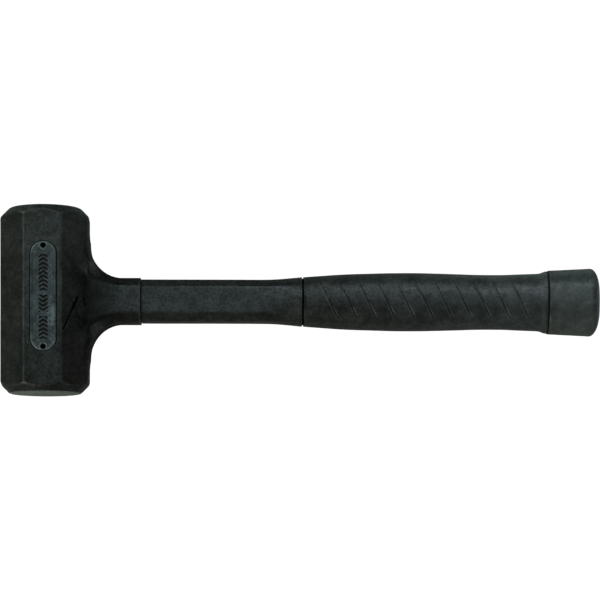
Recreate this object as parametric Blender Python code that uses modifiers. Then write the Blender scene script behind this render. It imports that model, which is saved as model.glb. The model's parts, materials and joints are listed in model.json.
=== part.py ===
"""Dead blow mallet, 45 mm class, 304 mm long.

Frame: the origin is the centre of the head's back flat. +X runs along the
handle to the butt, +Y along the strike axis, +Z up out of the label side.
"Front" is the +Z side and "back" the -Z side. Head axis and handle axis cross
at height AXIS_Z. Metres throughout.
"""
import math

import bmesh
import bpy
import numpy as np
from mathutils import Vector

MM = 0.001

# ---------------------------------------------------------------- dimensions
GAP = 0.3 * MM                  # clearance between neighbouring pieces
OVERSHOOT = 1.0 * MM            # how far stock and bores run past a piece's end

HEAD_HALF_LENGTH = 47.0 * MM    # strike face to strike face is 94 mm
HEAD_HALF_WIDTH = 22.2 * MM     # across the two side flats, along X
HEAD_HALF_DEPTH = 20.5 * MM     # across front and back flats, along Z
HEAD_FRONT_HALF = 9.5 * MM      # half width of the front and back flats
HEAD_SIDE_HALF = 8.1 * MM       # half width of the side flats
HEAD_EDGE_ROUND = 0.9 * MM      # rounding of the long edges
FACE_RADIUS = 18.0 * MM         # strike face
FACE_EDGE_ROUND = 1.1 * MM
FACE_EDGE_STEPS = 3
CHAMFER_SLOPE = 1.03            # axial run for each unit of radius
TURNED_RADIUS = 25.0 * MM       # blank the chamfers are turned on
AXIS_Z = HEAD_HALF_DEPTH

NECK_RUN = 17.0 * MM            # neck curve along the handle
NECK_RISE = 19.1 * MM           # neck curve along the strike axis
NECK_FRONT_FILLET = 12.0 * MM
NECK_FRONT_END = 24.2 * MM      # where the front of the neck turns level
NECK_ROOT_HALF_DEPTH = 13.4 * MM    # at the first station, inside the head
NECK_CORNER_GROWTH = 0.9        # added share of corner Y at the widest height
# stations inside the head: X, drop of the half height below the widest
NECK_ROOT = ((12.5 * MM, 0.6 * MM), (16.5 * MM, 0.5 * MM), (20.0 * MM, 0.4 * MM))
# stations on the quarter ellipse, degrees from its collar end
NECK_ANGLES = (83, 72, 61, 50, 39, 28, 15, 0)
COLLAR_HALF_HEIGHT = 11.4 * MM
COLLAR_HALF_DEPTH = 11.0 * MM
COLLAR_CORNER_Y = 4.2 * MM
COLLAR_CORNER_Z = 4.5 * MM
COLLAR_END = 48.6 * MM
CORNER_EASE = 0.16              # share of each side taken by an eased corner

# columns: station along X, half height along Y
GRIP_PROFILE = tuple((x * MM, half_height * MM) for x, half_height in (
    (130.8, 12.5), (135.0, 12.82), (139.8, 13.16), (147.0, 13.68),
    (155.0, 14.1), (165.0, 14.38), (175.0, 14.65), (184.0, 14.75),
    (190.5, 14.7), (197.0, 14.55), (204.0, 14.38), (211.0, 14.17),
    (218.0, 13.93), (225.0, 13.85), (232.0, 13.9), (239.5, 14.18),
    (246.5, 14.45), (250.3, 14.6), (251.5, 14.8), (253.0, 15.35),
    (254.3, 15.75), (254.9, 15.55),
))
GRIP_START = GRIP_PROFILE[0][0]
GRIP_END = GRIP_PROFILE[-1][0]
GRIP_DEPTH_RATIO = 0.83         # depth over height of the oval
GRIP_POWER = 2.3                # 2 is an ellipse, more is squarer

SHAFT_START = COLLAR_END + GAP
SHAFT_FLARE_START = 104.0 * MM
SHAFT_END = GRIP_START - GAP
SHAFT_HALF_HEIGHT = 10.6 * MM
SHAFT_HALF_DEPTH = 9.4 * MM
SHAFT_CORNER_Y = 3.85 * MM
SHAFT_CORNER_Z = 3.7 * MM
SHAFT_END_HALF_HEIGHT = 12.45 * MM
SHAFT_END_HALF_DEPTH = 11.2 * MM
SHAFT_POWER = 2.35              # oval at the flared end
SHAFT_FLARE_STEPS = 7
SHAFT_EDGE_RUN = 0.5 * MM       # chamfer at the collar end, along X
SHAFT_EDGE_DROP = 0.25 * MM     # the same chamfer, toward the axis

GROOVE_COUNT = 11
GROOVE_FIRST = 143.7 * MM       # where the first groove crosses the axis
GROOVE_PITCH = 9.68 * MM
GROOVE_SLANT = 0.50             # run along X for each unit down in Y, on the front
GROOVE_HALF_SPAN = 9.2 * MM     # half reach along Y
GROOVE_RADIUS = 0.8 * MM
GROOVE_DEPTH = 0.6 * MM
GROOVE_POINTS = 7

BUTT_START = GRIP_END + GAP
BUTT_END = 281.4 * MM
BUTT_NEAR_HALF = 16.1 * MM      # half height just past the edge facing the grip
BUTT_FAR_HALF = 17.13 * MM      # half height where the end starts to round
BUTT_EDGE_RUN = 0.6 * MM        # chamfer facing the grip, along X
BUTT_EDGE_DROP = 0.3 * MM       # the same chamfer, toward the axis
BUTT_TAPER_STEPS = 3
BUTT_ROUND_RUN = 4.6 * MM       # end rounding along X
BUTT_ROUND_RISE = 9.5 * MM      # end rounding toward the axis
BUTT_ROUND_STEPS = 6
BUTT_DEPTH_RATIO = 0.86
BUTT_POWER = 2.4
BUTT_POCKET_RADIUS = 10.0 * MM
BUTT_POCKET_DEPTH = 10.0 * MM
BUTT_POCKET_OVERSHOOT = 2.0 * MM

PLATE_LENGTH = 54.8 * MM
PLATE_WIDTH = 13.0 * MM
PLATE_CENTRE = (0.5 * MM, 0.6 * MM)
PLATE_THICKNESS = 1.2 * MM
PLATE_PROUD = 0.35 * MM
PLATE_EDGE = 0.35 * MM
PLATE_END_STEPS = 14            # segments of each round end
PLATE_TOP = 2.0 * HEAD_HALF_DEPTH + PLATE_PROUD
RECESS_CUTTER_HALF = 3.0 * MM   # half thickness of the recess cutter
PIN_OFFSET = 25.3 * MM          # from the plate's centre to each pin
PIN_HOLE_RADIUS = 1.4 * MM
PIN_CUTTER_LENGTH = 6.0 * MM    # cutters of the pin holes and pin seats
PIN_RADIUS = 1.1 * MM
PIN_TOP_BELOW = 1.0 * MM        # pin head sits below the plate's surface
PIN_LENGTH = 1.9 * MM
PIN_DOME = 0.25 * MM            # rise of the domed head
PIN_DOME_RADIUS_SHARE = 0.6     # middle ring of the dome: share of the radius
PIN_DOME_DROP_SHARE = 0.3       # and how far down the dome it lies

CANISTER_RADIUS = 17.0 * MM
CANISTER_WALL = 1.5 * MM
CANISTER_HALF_INNER = 35.0 * MM
CAP_THICKNESS = 3.0 * MM
CAP_CHAMFER = 0.5 * MM

ROD_RADIUS = 5.0 * MM
ROD_BORE = ROD_RADIUS + GAP     # hole radius of everything threaded on the rod
ROD_START = 18.2 * MM
ROD_END = 264.6 * MM
ROD_CHAMFER = 0.6 * MM
SOCKET_RADIUS = 7.5 * MM
SOCKET_START = 10.0 * MM
SOCKET_END = 34.0 * MM
SADDLE_LENGTH = 60.0 * MM
SOCKET_PIN_X = 27.5 * MM
SOCKET_PIN_RADIUS = 1.5 * MM
SOCKET_PIN_HALF_LENGTH = 6.9 * MM
SOCKET_PIN_CHAMFER = 0.3 * MM
SOCKET_PIN_CUTTER_LENGTH = 30.0 * MM
DISC_RADIUS = 8.0 * MM
DISC_THICKNESS = 2.6 * MM
DISC_INSET = 0.5 * MM           # from the start of the cover to the disc in it
DISC_NECK_X = SHAFT_START + DISC_INSET
DISC_GRIP_X = GRIP_START + DISC_INSET
WASHER_X = BUTT_START + GAP
WASHER_RADIUS = 9.5 * MM
WASHER_THICKNESS = 1.6 * MM
NUT_X = WASHER_X + WASHER_THICKNESS + GAP
NUT_ACROSS_FLATS = 16.0 * MM
NUT_THICKNESS = 5.6 * MM
NUT_CUTTER_LENGTH = 20.0 * MM

SHOT_RADIUS = 4.9 * MM
SHOT_PITCH = 10.0 * MM
SHOT_RING_RADIUS = 10.2 * MM
SHOT_RING_START = 30.0          # degrees, place of the first lane on the ring
SHOT_PER_LANE = 5
SHOT_LANES = 7                  # one in the middle, the rest on the ring
LANE_AXIS_SIZE = 0.01           # display size of the lane empties

# segments around a full turn
HEAD_SEGMENTS = 64
CANISTER_SEGMENTS = 48
HANDLE_SEGMENTS = 32
PIN_HOLE_SEGMENTS = 20
PIN_SEGMENTS = 16

SHARP_ANGLE = 35.0              # degrees, steeper edges are shaded sharp
MERGE_DISTANCE = 1e-7           # joins doubled vertices of a mesh
CURVE_MERGE_DISTANCE = 1e-6     # the same, for meshes made from curves

# ---------------------------------------------------------------- start clean
for old in list(bpy.data.objects):
    bpy.data.objects.remove(old, do_unlink=True)

PARTS = bpy.data.collections.new("dead_blow_mallet")
CUTTERS = bpy.data.collections.new("cutters")
bpy.context.scene.collection.children.link(PARTS)
bpy.context.scene.collection.children.link(CUTTERS)


# ---------------------------------------------------------------- materials
def material(name, colour, roughness, metallic):
    mat = bpy.data.materials.new(name)
    mat.use_nodes = True
    shader = mat.node_tree.nodes["Principled BSDF"]
    shader.inputs["Base Color"].default_value = (*colour, 1.0)
    shader.inputs["Roughness"].default_value = roughness
    shader.inputs["Metallic"].default_value = metallic
    mat.diffuse_color = (*colour, 1.0)
    return mat


URETHANE = material(
    "black_urethane", colour=(0.022, 0.025, 0.026), roughness=0.45, metallic=0.0)
GRIP_URETHANE = material(
    "grip_urethane", colour=(0.030, 0.034, 0.034), roughness=0.5, metallic=0.0)
PLATE = material(
    "plate_enamel", colour=(0.050, 0.060, 0.064), roughness=0.35, metallic=0.0)
BLACK_STEEL = material(
    "blackened_steel", colour=(0.02, 0.02, 0.02), roughness=0.5, metallic=1.0)
TUBE_STEEL = material(
    "drawn_steel", colour=(0.42, 0.43, 0.45), roughness=0.38, metallic=1.0)
CORE_STEEL = material(
    "core_steel", colour=(0.35, 0.36, 0.38), roughness=0.4, metallic=1.0)
ZINC_STEEL = material(
    "zinc_plated_steel", colour=(0.60, 0.62, 0.64), roughness=0.35, metallic=1.0)
SHOT_STEEL = material(
    "steel_shot", colour=(0.55, 0.56, 0.58), roughness=0.25, metallic=1.0)


# ---------------------------------------------------------------- making objects
def add_object(name, mesh, mat=None):
    """A part if it has a material, otherwise a hidden cutter."""
    obj = bpy.data.objects.new(name, mesh)
    if mat is None:
        CUTTERS.objects.link(obj)
        obj.hide_render = True
        obj.display_type = "WIRE"
    else:
        mesh.materials.append(mat)
        PARTS.objects.link(obj)
    return obj


def mesh_object(name, bm, mat=None, merge_distance=MERGE_DISTANCE):
    bmesh.ops.remove_doubles(bm, verts=bm.verts, dist=merge_distance)
    bmesh.ops.recalc_face_normals(bm, faces=bm.faces)
    mesh = bpy.data.meshes.new(name)
    bm.to_mesh(mesh)
    bm.free()
    mesh.shade_smooth()
    mesh.set_sharp_from_angle(angle=math.radians(SHARP_ANGLE))
    return add_object(name, mesh, mat)


def curve_object(name, curve, mat=None):
    """Turn a curve into a mesh object."""
    source = bpy.data.objects.new(name + "_curve", curve)
    CUTTERS.objects.link(source)
    bpy.context.view_layer.update()
    evaluated = source.evaluated_get(bpy.context.evaluated_depsgraph_get())
    mesh = bpy.data.meshes.new_from_object(evaluated)
    bpy.data.objects.remove(source, do_unlink=True)
    bm = bmesh.new()
    bm.from_mesh(mesh)
    bpy.data.meshes.remove(mesh)
    return mesh_object(name, bm, mat, CURVE_MERGE_DISTANCE)


def turned(name, profile, steps, mat=None):
    """Screw a profile of (radius, height) around local Z."""
    mesh = bpy.data.meshes.new(name)
    verts = [(radius, 0.0, z) for radius, z in profile]
    mesh.from_pydata(verts, [(i, i + 1) for i in range(len(verts) - 1)], [])
    obj = add_object(name, mesh, mat)
    screw = obj.modifiers.new("turn", "SCREW")
    screw.axis = "Z"
    screw.steps = steps
    screw.render_steps = steps
    screw.use_merge_vertices = True
    screw.merge_threshold = 1e-6
    screw.use_smooth_shade = True
    return obj


def cylinder(name, radius, length, segments, mat=None):
    """A cylinder along local Z, centred on the object's origin."""
    bm = bmesh.new()
    bmesh.ops.create_cone(bm, cap_ends=True, cap_tris=False, segments=segments,
                          radius1=radius, radius2=radius, depth=length)
    return mesh_object(name, bm, mat)


def outline(name, points, half_thickness, mat=None):
    """A flat outline in local XY, extruded both ways along local Z."""
    curve = bpy.data.curves.new(name + "_outline", "CURVE")
    curve.dimensions = "2D"
    curve.fill_mode = "BOTH"
    curve.extrude = half_thickness
    spline = curve.splines.new("POLY")
    spline.points.add(len(points) - 1)
    for point, (x, y) in zip(spline.points, points):
        point.co = (x, y, 0.0, 1.0)
    spline.use_cyclic_u = True
    return curve_object(name, curve, mat)


def loft(name, sections, mat=None):
    """Skin a row of like-numbered sections of points and close both ends."""
    bm = bmesh.new()
    rings = [[bm.verts.new(point) for point in section] for section in sections]
    count = len(rings[0])
    for near, far in zip(rings, rings[1:]):
        for i in range(count):
            j = (i + 1) % count
            bm.faces.new((near[i], far[i], far[j], near[j]))
    bm.faces.new(list(reversed(rings[0])))
    bm.faces.new(rings[-1])
    return mesh_object(name, bm, mat)


def boolean(obj, other, operation="DIFFERENCE"):
    mod = obj.modifiers.new(operation.lower() + "_" + other.name, "BOOLEAN")
    mod.operation = operation
    mod.solver = "EXACT"
    mod.object = other


def bevel(obj, name, width, segments, angle):
    """Bevel the edges sharper than an angle in degrees."""
    mod = obj.modifiers.new(name, "BEVEL")
    mod.width = width
    mod.segments = segments
    mod.limit_method = "ANGLE"
    mod.angle_limit = math.radians(angle)
    mod.use_clamp_overlap = True


def lay_along_x(obj, x=0.0):
    """Put the origin on the handle axis, with local Z onto +X."""
    obj.rotation_euler = (0.0, math.pi / 2, 0.0)
    obj.location = (x, 0.0, AXIS_Z)
    return obj


def lay_along_y(obj, y=0.0, sign=1.0):
    """Put the origin on the head axis, with local Z onto +Y or -Y."""
    obj.rotation_euler = (-sign * math.pi / 2, 0.0, 0.0)
    obj.location = (0.0, y, AXIS_Z)
    return obj


# ---------------------------------------------------------------- profiles to turn
def tube_profile(bore, radius, bottom, top):
    return [(bore, top), (radius, top), (radius, bottom), (bore, bottom),
            (bore, top)]


def chamfered_rod_profile(radius, bottom, top, chamfer):
    return [(0.0, top), (radius - chamfer, top), (radius, top - chamfer),
            (radius, bottom + chamfer), (radius - chamfer, bottom),
            (0.0, bottom)]


def stepped_bore(name, start, step, end, wide_radius):
    """Cutter on the handle axis: wide up to the step, then the rod's bore."""
    profile = [(0.0, end), (ROD_BORE, end), (ROD_BORE, step),
               (wide_radius, step), (wide_radius, start), (0.0, start)]
    return lay_along_x(turned(name, profile, HANDLE_SEGMENTS))


# ---------------------------------------------------------------- sections to loft
def octagon_corners(half_width, half_depth, flat_width, flat_depth):
    """Corners of an octagon from its half sizes and the half sizes of its flats."""
    return [(half_width, -flat_depth), (half_width, flat_depth),
            (flat_width, half_depth), (-flat_width, half_depth),
            (-half_width, flat_depth), (-half_width, -flat_depth),
            (-flat_width, -half_depth), (flat_width, -half_depth)]


def octagon_section(half_y, half_z, corner_y, corner_z):
    """32 points of an octagon whose eight corners are eased."""
    corners = [Vector(c) for c in octagon_corners(
        half_y, half_z, half_y - corner_y, half_z - corner_z)]
    points = []
    for i, corner in enumerate(corners):
        after = corners[(i + 1) % 8]
        ease_start = corner.lerp(corners[i - 1], CORNER_EASE)
        ease_end = corner.lerp(after, CORNER_EASE)
        middle = (ease_start + ease_end + 2.0 * corner) / 4.0
        points += [ease_start, middle, ease_end, corner.lerp(after, 0.5)]
    return points


def oval_point(y, z, half_y, half_z, power):
    """The point of a superellipse in the direction of (y, z)."""
    level = (abs(y) / half_y) ** power + (abs(z) / half_z) ** power
    scale = level ** (-1.0 / power)
    return Vector((y * scale, z * scale))


def oval_section(half_y, half_z, power, count=32):
    points = []
    for i in range(count):
        angle = 2.0 * math.pi * (i + 0.5) / count
        points.append(oval_point(math.cos(angle) * half_y, math.sin(angle) * half_z,
                                 half_y, half_z, power))
    return points


def section_at(x, section):
    """Stand a (y, z) section on the handle axis at x."""
    return [(x, y, AXIS_Z + z) for y, z in section]


def oval_loft(name, rows, depth_ratio, power, mat):
    """Loft ovals through rows of (station, half height)."""
    return loft(name,
                [section_at(x, oval_section(half, half * depth_ratio, power))
                 for x, half in rows], mat)


# ---------------------------------------------------------------- head jacket
def turned_blank():
    """Strike faces, their eased edges, cones and barrel, as one turned solid."""
    cone_angle = math.atan2(CHAMFER_SLOPE, 1.0)
    ease = FACE_EDGE_ROUND * math.tan(cone_angle / 2.0)
    half = [(0.0, HEAD_HALF_LENGTH)]
    for i in range(FACE_EDGE_STEPS + 1):
        angle = cone_angle * i / FACE_EDGE_STEPS
        half.append((
            FACE_RADIUS - ease + FACE_EDGE_ROUND * math.sin(angle),
            HEAD_HALF_LENGTH - FACE_EDGE_ROUND * (1.0 - math.cos(angle))))
    run = TURNED_RADIUS - FACE_RADIUS
    half.append((TURNED_RADIUS, HEAD_HALF_LENGTH - CHAMFER_SLOPE * run))
    mirrored = [(radius, -y) for radius, y in reversed(half)]
    return lay_along_y(turned("turned_blank", half + mirrored, HEAD_SEGMENTS))


def neck_half_depth(x):
    """Half depth along Z: a fillet that runs out level at the collar's depth."""
    if x >= NECK_FRONT_END:
        return COLLAR_HALF_DEPTH
    radius = NECK_FRONT_FILLET
    return (COLLAR_HALF_DEPTH + radius
            - math.sqrt(radius * radius - (NECK_FRONT_END - x) ** 2))


def neck_and_collar():
    """The outline is a quarter ellipse from the head's side to the collar."""
    base = HEAD_HALF_WIDTH + NECK_RUN
    widest = COLLAR_HALF_HEIGHT + NECK_RISE
    rows = [(x, widest - drop) for x, drop in NECK_ROOT]
    for degrees in NECK_ANGLES:
        angle = math.radians(degrees)
        rows.append((base - NECK_RUN * math.sin(angle),
                     COLLAR_HALF_HEIGHT + NECK_RISE * (1.0 - math.cos(angle))))
    rows.append((COLLAR_END, COLLAR_HALF_HEIGHT))
    depths = [NECK_ROOT_HALF_DEPTH] + [neck_half_depth(x) for x, _ in rows[1:]]
    sections = []
    for (x, half_height), half_depth in zip(rows, depths):
        spread = (half_height - COLLAR_HALF_HEIGHT) / NECK_RISE
        corner_y = COLLAR_CORNER_Y * (1.0 + NECK_CORNER_GROWTH * spread)
        sections.append(section_at(x, octagon_section(
            half_height, half_depth, corner_y, COLLAR_CORNER_Z)))
    return loft("neck_and_collar", sections)


def build_head_jacket():
    corners = octagon_corners(HEAD_HALF_WIDTH, HEAD_HALF_DEPTH,
                              HEAD_FRONT_HALF, HEAD_SIDE_HALF)
    head = lay_along_y(outline("head_jacket", corners,
                               HEAD_HALF_LENGTH + OVERSHOOT, URETHANE))
    bevel(head, "long_edges", width=HEAD_EDGE_ROUND, segments=2, angle=30)
    boolean(head, turned_blank(), "INTERSECT")
    boolean(head, neck_and_collar(), "UNION")
    cavity_half = CANISTER_HALF_INNER + CAP_THICKNESS + 2.0 * GAP
    boolean(head, lay_along_y(cylinder(
        "canister_cavity", CANISTER_RADIUS + GAP, 2.0 * cavity_half,
        CANISTER_SEGMENTS)))
    boolean(head, stepped_bore(
        "core_bore", start=SOCKET_START, step=SOCKET_END + GAP,
        end=COLLAR_END + OVERSHOOT, wide_radius=SOCKET_RADIUS + GAP))
    return head


# ---------------------------------------------------------------- label plate
def pill(length, width):
    """A straight-sided outline along Y with round ends."""
    radius = width / 2.0
    half = length / 2.0 - radius
    points = []
    for start, centre in ((0.0, half), (math.pi, -half)):
        for i in range(PLATE_END_STEPS + 1):
            angle = start + math.pi * i / PLATE_END_STEPS
            points.append((radius * math.cos(angle),
                           centre + radius * math.sin(angle)))
    return points


def build_label_pin(label, x, y):
    half = PIN_LENGTH / 2.0
    profile = [(0.0, half),
               (PIN_RADIUS * PIN_DOME_RADIUS_SHARE,
                half - PIN_DOME_DROP_SHARE * PIN_DOME),
               (PIN_RADIUS, half - PIN_DOME), (PIN_RADIUS, -half), (0.0, -half)]
    pin = turned("label_pin_" + label, profile, PIN_SEGMENTS, BLACK_STEEL)
    pin.location = (x, y, PLATE_TOP - PIN_TOP_BELOW - half)


def build_label_plate(head):
    """The plate and its two pins, let into the front of the head."""
    recess = outline("plate_recess",
                     pill(PLATE_LENGTH + 2.0 * GAP, PLATE_WIDTH + 2.0 * GAP),
                     RECESS_CUTTER_HALF)
    recess_floor = PLATE_TOP - PLATE_THICKNESS - GAP
    recess.location = (*PLATE_CENTRE, recess_floor + RECESS_CUTTER_HALF)
    boolean(head, recess)

    plate = outline("label_plate", pill(PLATE_LENGTH, PLATE_WIDTH),
                    PLATE_THICKNESS / 2.0, PLATE)
    plate.location = (*PLATE_CENTRE, PLATE_TOP - PLATE_THICKNESS / 2.0)

    seat_floor = PLATE_TOP - PIN_TOP_BELOW - PIN_LENGTH - GAP
    x, centre_y = PLATE_CENTRE
    for label, sign in (("upper", 1.0), ("lower", -1.0)):
        y = centre_y + sign * PIN_OFFSET
        hole = cylinder("pin_hole_" + label, PIN_HOLE_RADIUS, PIN_CUTTER_LENGTH,
                        PIN_HOLE_SEGMENTS)
        hole.location = (x, y, PLATE_TOP)
        boolean(plate, hole)
        seat = cylinder("pin_seat_" + label, PIN_RADIUS + GAP, PIN_CUTTER_LENGTH,
                        PIN_HOLE_SEGMENTS)
        seat.location = (x, y, seat_floor + PIN_CUTTER_LENGTH / 2.0)
        boolean(head, seat)
        build_label_pin(label, x, y)

    bevel(plate, "rim", width=PLATE_EDGE, segments=1, angle=60)


# ---------------------------------------------------------------- canister
def build_canister():
    profile = tube_profile(CANISTER_RADIUS - CANISTER_WALL, CANISTER_RADIUS,
                           -CANISTER_HALF_INNER, CANISTER_HALF_INNER)
    lay_along_y(turned("canister_tube", profile, CANISTER_SEGMENTS, TUBE_STEEL))

    half = CAP_THICKNESS / 2.0
    cap_profile = [(0.0, half), (CANISTER_RADIUS - CAP_CHAMFER, half),
                   (CANISTER_RADIUS, half - CAP_CHAMFER),
                   (CANISTER_RADIUS, -half), (0.0, -half)]
    for label, sign in (("upper", 1.0), ("lower", -1.0)):
        cap = turned("canister_cap_" + label, cap_profile, CANISTER_SEGMENTS,
                     TUBE_STEEL)
        lay_along_y(cap, sign * (CANISTER_HALF_INNER + GAP + half), sign)


# ---------------------------------------------------------------- core
def build_socket():
    """Sleeve around the rod's start, hollowed to sit against the canister."""
    profile = tube_profile(ROD_BORE, SOCKET_RADIUS, 0.0, SOCKET_END - SOCKET_START)
    socket = turned("core_socket", profile, HANDLE_SEGMENTS, CORE_STEEL)
    lay_along_x(socket, SOCKET_START)
    boolean(socket, lay_along_y(cylinder(
        "canister_saddle", CANISTER_RADIUS + GAP, SADDLE_LENGTH, HEAD_SEGMENTS)))
    return socket


def build_rod():
    profile = chamfered_rod_profile(ROD_RADIUS, 0.0, ROD_END - ROD_START,
                                    ROD_CHAMFER)
    rod = turned("core_rod", profile, HANDLE_SEGMENTS, CORE_STEEL)
    return lay_along_x(rod, ROD_START)


def build_socket_pin(socket, rod):
    """Pin along Z through the socket and the rod."""
    hole = cylinder("socket_pin_hole", SOCKET_PIN_RADIUS + GAP,
                    SOCKET_PIN_CUTTER_LENGTH, PIN_SEGMENTS)
    hole.location = (SOCKET_PIN_X, 0.0, AXIS_Z)
    boolean(socket, hole)
    boolean(rod, hole)
    profile = chamfered_rod_profile(SOCKET_PIN_RADIUS, -SOCKET_PIN_HALF_LENGTH,
                                    SOCKET_PIN_HALF_LENGTH, SOCKET_PIN_CHAMFER)
    pin = turned("socket_pin", profile, PIN_SEGMENTS, ZINC_STEEL)
    pin.location = (SOCKET_PIN_X, 0.0, AXIS_Z)


def build_ring(name, x, radius, thickness, mat):
    """A flat ring on the rod whose face toward the head is at x."""
    profile = tube_profile(ROD_BORE, radius, 0.0, thickness)
    lay_along_x(turned(name, profile, HANDLE_SEGMENTS, mat), x)


def build_nut():
    corner_radius = NUT_ACROSS_FLATS / 2.0 / math.cos(math.pi / 6.0)
    nut = cylinder("end_nut", corner_radius, NUT_THICKNESS, 6, ZINC_STEEL)
    lay_along_x(nut, NUT_X + NUT_THICKNESS / 2.0)
    boolean(nut, lay_along_x(cylinder(
        "nut_bore", ROD_BORE, NUT_CUTTER_LENGTH, HANDLE_SEGMENTS), NUT_X))


def build_core():
    build_socket_pin(build_socket(), build_rod())
    build_ring("locating_disc_neck", DISC_NECK_X, DISC_RADIUS, DISC_THICKNESS,
               BLACK_STEEL)
    build_ring("locating_disc_grip", DISC_GRIP_X, DISC_RADIUS, DISC_THICKNESS,
               BLACK_STEEL)
    build_ring("end_washer", WASHER_X, WASHER_RADIUS, WASHER_THICKNESS, ZINC_STEEL)
    build_nut()


# ---------------------------------------------------------------- shaft cover
def shaft_sections():
    """An eased octagon that flares and turns into an oval toward the grip."""
    flare_run = SHAFT_END - SHAFT_FLARE_START
    rows = [SHAFT_START, SHAFT_START + SHAFT_EDGE_RUN, SHAFT_FLARE_START]
    rows += [SHAFT_FLARE_START + flare_run * i / SHAFT_FLARE_STEPS
             for i in range(1, SHAFT_FLARE_STEPS + 1)]
    sections = []
    for i, x in enumerate(rows):
        t = max(0.0, (x - SHAFT_FLARE_START) / flare_run)
        flare = t * t * (1.6 - 0.6 * t)     # growth, still rising at the end
        half_y = (SHAFT_HALF_HEIGHT
                  + (SHAFT_END_HALF_HEIGHT - SHAFT_HALF_HEIGHT) * flare)
        half_z = (SHAFT_HALF_DEPTH
                  + (SHAFT_END_HALF_DEPTH - SHAFT_HALF_DEPTH) * flare)
        if i == 0:
            half_y -= SHAFT_EDGE_DROP
            half_z -= SHAFT_EDGE_DROP
        octagon = octagon_section(half_y, half_z, SHAFT_CORNER_Y, SHAFT_CORNER_Z)
        oval = [oval_point(y, z, half_y, half_z, SHAFT_POWER) for y, z in octagon]
        blend = t * t * (3.0 - 2.0 * t)     # octagon to oval, level at both ends
        sections.append(section_at(
            x, [a.lerp(b, blend) for a, b in zip(octagon, oval)]))
    return sections


def build_shaft_cover():
    shaft = loft("shaft_cover", shaft_sections(), URETHANE)
    boolean(shaft, stepped_bore(
        "shaft_bore", start=COLLAR_END - OVERSHOOT,
        step=DISC_NECK_X + DISC_THICKNESS + GAP, end=SHAFT_END + OVERSHOOT,
        wide_radius=DISC_RADIUS + GAP))


# ---------------------------------------------------------------- grip
def grip_height(x, y):
    """Height of the grip's front surface above the handle axis."""
    half_y = float(np.interp(x, *zip(*GRIP_PROFILE)))
    half_z = half_y * GRIP_DEPTH_RATIO
    remainder = 1.0 - (abs(y) / half_y) ** GRIP_POWER
    return half_z * remainder ** (1.0 / GRIP_POWER)


def groove_cutter(name, centre_x, side):
    """A bent round bar that follows the oval and fades out at both ends."""
    curve = bpy.data.curves.new(name, "CURVE")
    curve.dimensions = "3D"
    curve.bevel_depth = GROOVE_RADIUS
    curve.bevel_resolution = 1
    curve.use_fill_caps = True
    spline = curve.splines.new("POLY")
    spline.points.add(GROOVE_POINTS - 1)
    for i, point in enumerate(spline.points):
        u = -1.0 + 2.0 * i / (GROOVE_POINTS - 1)    # -1 to 1 along the groove
        y = -u * GROOVE_HALF_SPAN
        x = centre_x + u * GROOVE_HALF_SPAN * GROOVE_SLANT * side
        lift = GROOVE_RADIUS - GROOVE_DEPTH * (1.0 - u ** 4)
        z = grip_height(x, y) + lift
        point.co = (x, y, AXIS_Z + side * z, 1.0)
        point.radius = 1.0
    return curve_object(name, curve)


def build_grip():
    grip = oval_loft("grip_sleeve", GRIP_PROFILE, GRIP_DEPTH_RATIO, GRIP_POWER,
                     GRIP_URETHANE)
    boolean(grip, stepped_bore(
        "grip_bore", start=GRIP_START - OVERSHOOT,
        step=DISC_GRIP_X + DISC_THICKNESS + GAP, end=GRIP_END + OVERSHOOT,
        wide_radius=DISC_RADIUS + GAP))
    for label, side in (("front", 1.0), ("back", -1.0)):
        for i in range(GROOVE_COUNT):
            boolean(grip, groove_cutter("groove_%s_%02d" % (label, i + 1),
                                        GROOVE_FIRST + GROOVE_PITCH * i, side))


# ---------------------------------------------------------------- butt cap
def butt_rows():
    """(station, half height) of the butt, from the grip outward."""
    taper_start = BUTT_START + BUTT_EDGE_RUN
    taper_end = BUTT_END - BUTT_ROUND_RUN
    rows = [(BUTT_START, BUTT_NEAR_HALF - BUTT_EDGE_DROP)]
    for i in range(BUTT_TAPER_STEPS + 1):
        t = i / BUTT_TAPER_STEPS
        rows.append((taper_start + (taper_end - taper_start) * t,
                     BUTT_NEAR_HALF + (BUTT_FAR_HALF - BUTT_NEAR_HALF) * t))
    for i in range(1, BUTT_ROUND_STEPS + 1):
        angle = math.pi / 2.0 * i / BUTT_ROUND_STEPS
        rows.append((taper_end + BUTT_ROUND_RUN * math.sin(angle),
                     BUTT_FAR_HALF - BUTT_ROUND_RISE * (1.0 - math.cos(angle))))
    return rows


def build_butt_cap():
    butt = oval_loft("butt_cap", butt_rows(), BUTT_DEPTH_RATIO, BUTT_POWER,
                     GRIP_URETHANE)
    length = BUTT_POCKET_DEPTH + BUTT_POCKET_OVERSHOOT
    pocket = cylinder("butt_pocket", BUTT_POCKET_RADIUS, length, HANDLE_SEGMENTS)
    lay_along_x(pocket, BUTT_START + BUTT_POCKET_DEPTH - length / 2.0)
    boolean(butt, pocket)


# ---------------------------------------------------------------- shot
def shot_ball_mesh():
    bm = bmesh.new()
    bmesh.ops.create_icosphere(bm, subdivisions=2, radius=SHOT_RADIUS)
    mesh = bpy.data.meshes.new("shot")
    bm.to_mesh(mesh)
    bm.free()
    mesh.shade_smooth()
    mesh.materials.append(SHOT_STEEL)
    return mesh


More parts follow.
